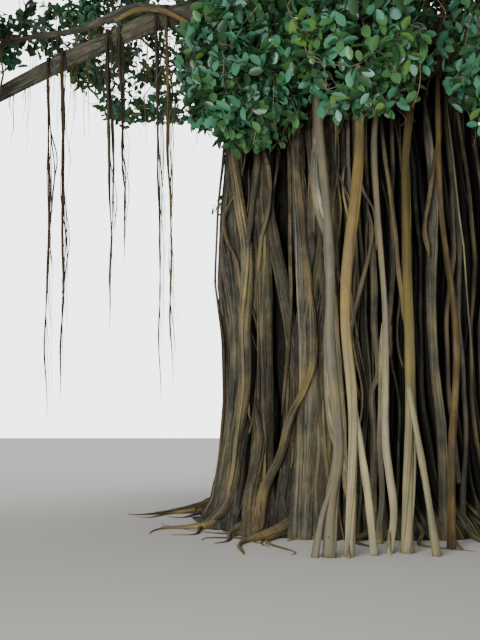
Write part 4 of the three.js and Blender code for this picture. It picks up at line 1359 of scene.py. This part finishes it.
def twig_tubes(mass, nodes, parents, first):
    """Each twig leaves its parent the way that one ran and bends to its own end: points (1-t)^2 a +
    2t(1-t) b + t^2 c. Its radius grows with the twigs that it carries."""
    seed = mass.seed + 1
    rng = np.random.default_rng(seed)
    child = np.arange(1, len(nodes))
    start, end = nodes[parents[child]], nodes[child]
    run = nodes - nodes[np.maximum(parents, 0)]
    run[0] = mass.stem.along
    length = np.linalg.norm(end - start, axis=1, keepdims=True)
    bend = start + unit(run[parents[child]]) * length * 0.4 + rng.normal(0, 0.05, start.shape) * length
    t = np.linspace(0, 1, 5)[None, :, None]
    path = (1 - t) ** 2 * start[:, None] + 2 * t * (1 - t) * bend[:, None] + t**2 * end[:, None]
    beside = unit(np.cross(end - start, [0.3, 0.2, 1.0]))[:, None]
    thick = mass.growth["twig"] * twig_loads(parents, first)[child] ** PIPE
    radii = thick[:, None] * np.linspace(1.15, 0.8, 5)
    return tube(path, *square_to(path, beside), round_rings(radii, 4), TWIG_LOOK, seed)


def stem_tube(rng, mass):
    """The stem that carries a mass, from its bough's tip or from the trunk."""
    start, along, length, radius = mass.stem
    path = (start + along * length * np.linspace(0, 1, 6)[:, None])[None]
    rings = np.full((1, 6, 9), radius) * flutes(rng, 1, 6, 9, 0.5)
    beside = unit(np.cross(along, [0.3, 0.2, 1.0]))
    return tube(path, *square_to(path, beside), rings, STEM_LOOK, mass.seed + 2)


def shoots_from(rng, mass, tips, backs):
    """Where a mass's shoots start and how they run: from near each twig's end, evenly spread round it and
    leaning outwards."""
    count = mass.growth["shoots"]
    starts = np.repeat(tips, count, axis=0)
    back = np.repeat(backs, count, axis=0)
    starts = starts + (back - starts) * np.tile(np.linspace(0, 0.35, count), len(tips))[:, None]
    outward = unit(starts - polar(*mass.at))
    spread = np.tile(lattice(count), (len(tips), 1))
    runs = unit(0.55 * outward + 0.85 * spread + rng.normal(0, 0.25, starts.shape)) * [1, 1, 0.75]
    return starts, runs * mass.growth["shoot"] * rng.uniform(0.6, 1.15, (len(starts), 1))


def shoot_spikes(starts, runs, radius):
    """Shoots as slim three-sided spikes from a twig to a point."""
    aside = unit(np.cross(runs, [0.1, 0.2, 1.0]))
    above = unit(np.cross(runs, aside))
    turn = 2 * np.pi * np.arange(3) / 3
    spread = np.cos(turn)[None, :, None] * aside[:, None] + np.sin(turn)[None, :, None] * above[:, None]
    ring = starts[:, None] + radius * spread
    points = np.concatenate([ring, (starts + runs)[:, None]], axis=1).reshape(-1, 3)
    faces = np.array([[0, 1, 3], [1, 2, 3], [2, 0, 3], [2, 1, 0]])
    numbers = np.arange(len(starts))[:, None, None] * 4 + faces
    look = np.broadcast_to(SHOOT_LOOK, points.shape)
    return Shape(points, np.zeros((0, 4), int), numbers.reshape(-1, 3), points, look)


def dangling_roots(rng, nodes, count, seed):
    """Thin roots that curl down from a mass's twigs."""
    start = nodes[rng.integers(0, len(nodes), count)]
    run = rng.normal(0, 0.3, (count, 3))
    run[:, 2] = -rng.uniform(0.3, 1.1, count)
    t = np.linspace(0, 1, 12)[None, :, None]
    curl = rng.normal(0, 0.14, (count, 1, 3)) * np.sin(t * rng.uniform(3, 7, (count, 1, 1)))
    path = start[:, None] + run[:, None] * t + curl * t
    thick = rng.uniform(0.005, 0.011, (count, 1)) * np.linspace(1, 0.5, 12)
    return tube(path, *level_rings(path), round_rings(thick, 4), DANGLING_LOOK, seed)


def spray_leaves(rng, starts, runs, growth):
    """Leaves along shoots: each a golden angle further round its shoot, with its tip hanging a little. Gives
    their roots, the way each runs, the way its face looks and its length."""
    count = growth["leaves"]
    index = np.arange(count)
    share = (index + 0.6) / count
    along = unit(runs)[:, None]
    aside = unit(np.cross(runs, [0.1, 0.2, 1.0]))[:, None]
    above = np.cross(along, aside)
    turn = (index * GOLDEN_TURN)[None, :, None] + 2 * np.pi * rng.random((len(starts), 1, 1))
    fan = np.cos(turn) * aside + np.sin(turn) * above
    sag = np.array([0, 0, -0.1]) * share[:, None] ** 2
    sag = sag * np.linalg.norm(runs, axis=1)[:, None, None]
    roots = starts[:, None] + runs[:, None] * share[:, None] + sag
    ways = unit(0.55 * along + 0.9 * fan + rng.normal(0, 0.25, roots.shape) + [0, 0, -0.2])
    faces_up = unit(0.9 * np.array([0, 0, 1.0]) + 0.35 * along + rng.normal(0, 0.4, roots.shape))
    lengths = growth["leaf"] * rng.uniform(0.7, 1.1, roots.shape[:2])
    return roots.reshape(-1, 3), ways.reshape(-1, 3), faces_up.reshape(-1, 3), lengths.ravel()


def leaf_blades(roots, ways, faces_up, lengths):
    """Leaves of eight faces each, folded on the midrib with a drooping tip."""
    side = unit(np.cross(faces_up, ways))
    frames = np.stack([ways, side, np.cross(ways, side)], axis=1)
    points = roots[:, None] + np.array(LEAF_OUTLINE)[None] * lengths[:, None, None] @ frames
    rim = len(LEAF_OUTLINE) - 1
    fan = np.array([[rim, k, (k + 1) % rim] for k in range(rim)])
    faces = np.arange(len(roots))[:, None, None] * len(LEAF_OUTLINE) + fan
    return Shape(points.reshape(-1, 3), np.zeros((0, 4), int), faces.reshape(-1, 3), None, None)


def foliage_mass(mass, others, limbs):
    """One mass: its wood, its leaves, and the number of each leaf face's colour, which is dealt out by spray,
    painted shade and painted sheen among them.
    Shoots and leaves end within the mass's outline, out of the other masses' space and clear of the limbs."""
    rng = np.random.default_rng(mass.seed)
    bosses = unit(lattice(BILLOWS["count"]) + rng.normal(0, 0.35, (BILLOWS["count"], 3)))
    growth = mass.growth
    nodes, parents, first = grow_twigs(rng, mass, others, limbs)
    wood = [twig_tubes(mass, nodes, parents, first), stem_tube(rng, mass)]

    starts, runs = shoots_from(rng, mass, nodes[first:], nodes[parents[first:]])
    keep = reach_in(mass, starts + runs, bosses) < 1.0
    keep &= clear_of_limbs(starts + runs, *limbs, 0.06)
    starts, runs = starts[keep], runs[keep]
    wood.append(shoot_spikes(starts, runs, growth["twig"] * 0.7))
    lower_nodes = nodes[: first + (len(nodes) - first) // 2]
    wood.append(dangling_roots(rng, lower_nodes, growth["dangling"], mass.seed + 3))

    leaves = spray_leaves(rng, starts, runs, growth)
    tones = np.repeat(rng.choice(len(LEAF_ODDS), len(starts), p=LEAF_ODDS), growth["leaves"])
    roots, ways, faces_up, lengths = leaves
    tips = roots + ways * lengths[:, None]
    keep = reach_in(mass, tips, bosses) < 1.0
    keep &= in_own_space(tips, polar(*mass.at), others, SPACE_OVERLAP)
    keep &= clear_of_limbs(tips, *limbs, 0.02)
    blades = leaf_blades(*(part[keep] for part in leaves))
    return joined(wood), blades, np.repeat(tones[keep], len(LEAF_OUTLINE) - 1)


# Assembly


def build_trunk(bark):
    """The core, the strands of each kind, those placed one by one, and the roots on the ground."""
    rng = np.random.default_rng(11)
    core = trunk_core()
    angles, phases, stout, ridges = stout_strands(rng)
    shapes = {
        "core": core,
        "stout_strands": stout,
        "ridge_strands": ridges,
        "lesser_strands": lesser_strands(rng, angles, phases),
        "thin_strands": crossing_strands(rng),
        "hanging_strands": bay_strands(rng),
        "front_strands": front_strands(),
        "surface_roots": surface_roots(),
    }
    for name, shape in shapes.items():
        add_piece(f"trunk_{name}", shape, [bark], "trunk")


def build_boughs(paths, radii, bark):
    """The boughs. The left ones are paler and carry more threads, and the strut is part of the left one."""
    for number, (name, path) in enumerate(paths.items()):
        on_left = name in ("left", "left_side")
        look = LEFT_BOUGH_LOOK if on_left else BOUGH_LOOK
        threads = LEFT_BOUGH_THREADS if on_left else BOUGH_THREADS
        shape = bough_shape(path, radii[name], look, threads, 1000 + 50 * number)
        if name == "left":
            shape = joined([shape, strut_shape()])
        add_piece(f"{name}_bough", shape, [bark], f"bough_{name}")


def build_prop_roots(roots, paths, bark, olive_bark):
    """The prop roots, one of them with a green film."""
    for number, (name, root) in enumerate(roots.items()):
        shape = prop_root_shape(root, paths, 2000 + 20 * number)
        own_bark = olive_bark if name == "olive" else bark
        add_piece(f"{name}_prop_root", shape, [own_bark], f"prop_root_{name}")


def build_hanging_roots(path, bark):
    """The roots that hang from the left bough."""
    tip, radii = BOUGHS["left"][1], BOUGHS["left"][3]
    for number, (name, row) in enumerate(HANGING_ROOTS.items()):
        bough_radius = np.interp(row[0], [0, tip[1]], radii)
        shape = hanging_root_shape(*row, path, bough_radius, 3000 + 20 * number)
        add_piece(f"{name}_hanging_root", shape, [bark], f"hanging_root_{name}")


def limb_samples(paths, radii, roots):
    """Points along every bough and prop root with their radii, which leaves keep clear of."""
    steps = 60
    limbs = [(spaced(path, steps), radii[name]) for name, path in paths.items()]
    limbs += [(smooth_path(way_to_bough(root, paths), steps), root["radii"]) for root in roots.values()]
    thick = [np.linspace(*ends, steps) for points, ends in limbs]
    return np.concatenate([points for points, ends in limbs]), np.concatenate(thick)


def all_masses(paths, radii):
    """The masses of the crown, each on a stem from its bough's tip, and the low ones round the trunk."""
    masses = []
    for number, (name, (at, size, bough, full)) in enumerate(MASSES.items()):
        path = paths[bough]
        stem = Stem(path[-1], unit(path[-1] - path[-2]), CROWN_STEM, radii[bough][1] * 0.9)
        masses.append(Mass(name, at, size, CROWN_GROWTH, stem, 100 * (number + 1), full))
    height = SKIRT["height"]
    for number, (angle, distance, leaves) in enumerate(SKIRT["at"]):
        start = polar(angle, SKIRT["stem_from"], SKIRT["stem_height"])
        end = polar(angle, distance - SKIRT["stem_short"], height + SKIRT["stem_above"])
        stem = Stem(start, unit(end - start), np.linalg.norm(end - start), SKIRT["stem_radius"])
        at = [angle, distance, height]
        growth = {**SKIRT_GROWTH, "leaves": leaves}
        seed = 100 * (number + 31)
        masses.append(Mass(f"skirt_{number + 1}", at, SKIRT["radii"], growth, stem, seed, 1))
    return masses


def build_foliage(masses, limbs, bark):
    """Each mass's twigs and its leaves."""
    # Some leaf colours are painted shade and painted sheen of the sky
    colours = [
        plain_material(f"leaf_{name}", colour, roughness=0.38, specular=0.34)
        for name, colour in LEAF_COLOURS.items()
    ]
    middles = np.array([polar(*mass.at) for mass in masses])
    for mass in masses:
        wood, leaves, tones = foliage_mass(mass, middles, limbs)
        add_piece(f"{mass.name}_twigs", wood, [bark], f"foliage_{mass.name}")
        add_piece(f"{mass.name}_leaves", leaves, colours, f"foliage_{mass.name}", tones)


# Floor, light and camera


def add_object(name, data):
    """An object that shows or holds data, in the scene."""
    thing = bpy.data.objects.new(name, data)
    bpy.context.scene.collection.objects.link(thing)
    return thing


def add_floor(half, colour):
    """A plain pale floor: a wide square just under the ground's level, so that no root's foot flickers in
    it."""
    height = -0.002
    corners = [(-half, -half, height), (half, -half, height), (half, half, height), (-half, half, height)]
    mesh = bpy.data.meshes.new("floor")
    mesh.from_pydata(corners, [], [(0, 1, 2, 3)])
    mesh.materials.append(plain_material("floor_paint", colour, roughness=0.9, specular=0.2))
    add_object("floor", mesh)


def add_sun(name, heading_from, height, softness, strength, colour=(1, 1, 1)):
    """A soft sun: its light comes from a heading round the tree and a height above the horizon, both in
    degrees, and softness is how wide it looks from the ground."""
    light = bpy.data.lights.new(name, "SUN")
    light.energy = strength
    light.angle = math.radians(softness)
    light.color = colour
    lamp = add_object(name, light)
    lamp.rotation_euler = (math.radians(90 - height), 0, math.radians(heading_from + 90))


def add_panel(name, place, target, size, strength):
    """A square panel of light at a place, turned to its target."""
    light = bpy.data.lights.new(name, "AREA")
    light.energy = strength
    light.size = size
    light.spread = math.radians(100)
    lamp = add_object(name, light)
    lamp.location = place
    away = [a - b for a, b in zip(place, target)]
    flat = math.hypot(away[0], away[1])
    lamp.rotation_euler = (math.atan2(flat, away[2]), 0, math.atan2(away[1], away[0]) + math.pi / 2)


def set_sky(colour, seen, strength):
    """A plain pale studio: it looks as bright as seen, and lights the tree with strength."""
    world = bpy.data.worlds.new("studio")
    world.use_nodes = True
    tree = world.node_tree
    lit = tree.nodes["Background"]
    set_inputs(tree, lit, {"Color": (*colour, 1), "Strength": strength})
    shown = add_node(tree, "ShaderNodeBackground", {"Color": (*colour, 1), "Strength": seen})
    straight = add_node(tree, "ShaderNodeLightPath", {}).outputs["Is Camera Ray"]
    inputs = {0: straight, 1: lit.outputs[0], 2: shown.outputs[0]}
    mixed = add_node(tree, "ShaderNodeMixShader", inputs)
    set_inputs(tree, tree.nodes["World Output"], {"Surface": mixed.outputs[0]})
    bpy.context.scene.world = world


def add_camera():
    """The photograph's view, from eye height."""
    camera = bpy.data.cameras.new("camera")
    camera.lens = LENS
    camera.sensor_width = FILM
    camera.clip_end = 2500
    eye = add_object("camera", camera)
    eye.location = EYE
    eye.rotation_euler = (math.radians(90 + LOOK_UP), 0, 0)
    bpy.context.scene.camera = eye


bark_group = make_bark_group()
barks = {name: bark_material(f"{name}_bark", bark_group, *values) for name, values in BARKS.items()}

bough_paths = all_bough_paths()
bough_radii = {name: radii for name, (start, tip, arch, radii) in BOUGHS.items()}
bough_radii["leader"] = LEADER["radii"]
bough_radii["left_side"] = SIDE_BOUGH["radii"]
prop_roots = dict(PROP_ROOTS)
for number, (name, row) in enumerate(PLAIN_PROP_ROOTS.items()):
    prop_roots[name] = plain_prop_root(*row, number)

build_trunk(barks["trunk"])
build_boughs(bough_paths, bough_radii, barks["bough"])
build_prop_roots(prop_roots, bough_paths, barks["prop_root"], barks["olive_prop_root"])
build_hanging_roots(bough_paths["left"], barks["hanging_root"])
limbs = limb_samples(bough_paths, bough_radii, prop_roots)
build_foliage(all_masses(bough_paths, bough_radii), limbs, barks["bough"])

add_floor(half=900, colour=(0.62, 0.61, 0.59))
set_sky((0.97, 0.99, 1.0), seen=4.0, strength=0.6)
add_sun("key", heading_from=-130, height=32, softness=25, strength=1.0, colour=(1.0, 0.94, 0.84))
add_sun("fill", heading_from=60, height=50, softness=40, strength=1.4)
add_panel("front", (-5.5, -15, 2.3), (-1.0, -4.5, 6.0), size=4, strength=620)
add_camera()
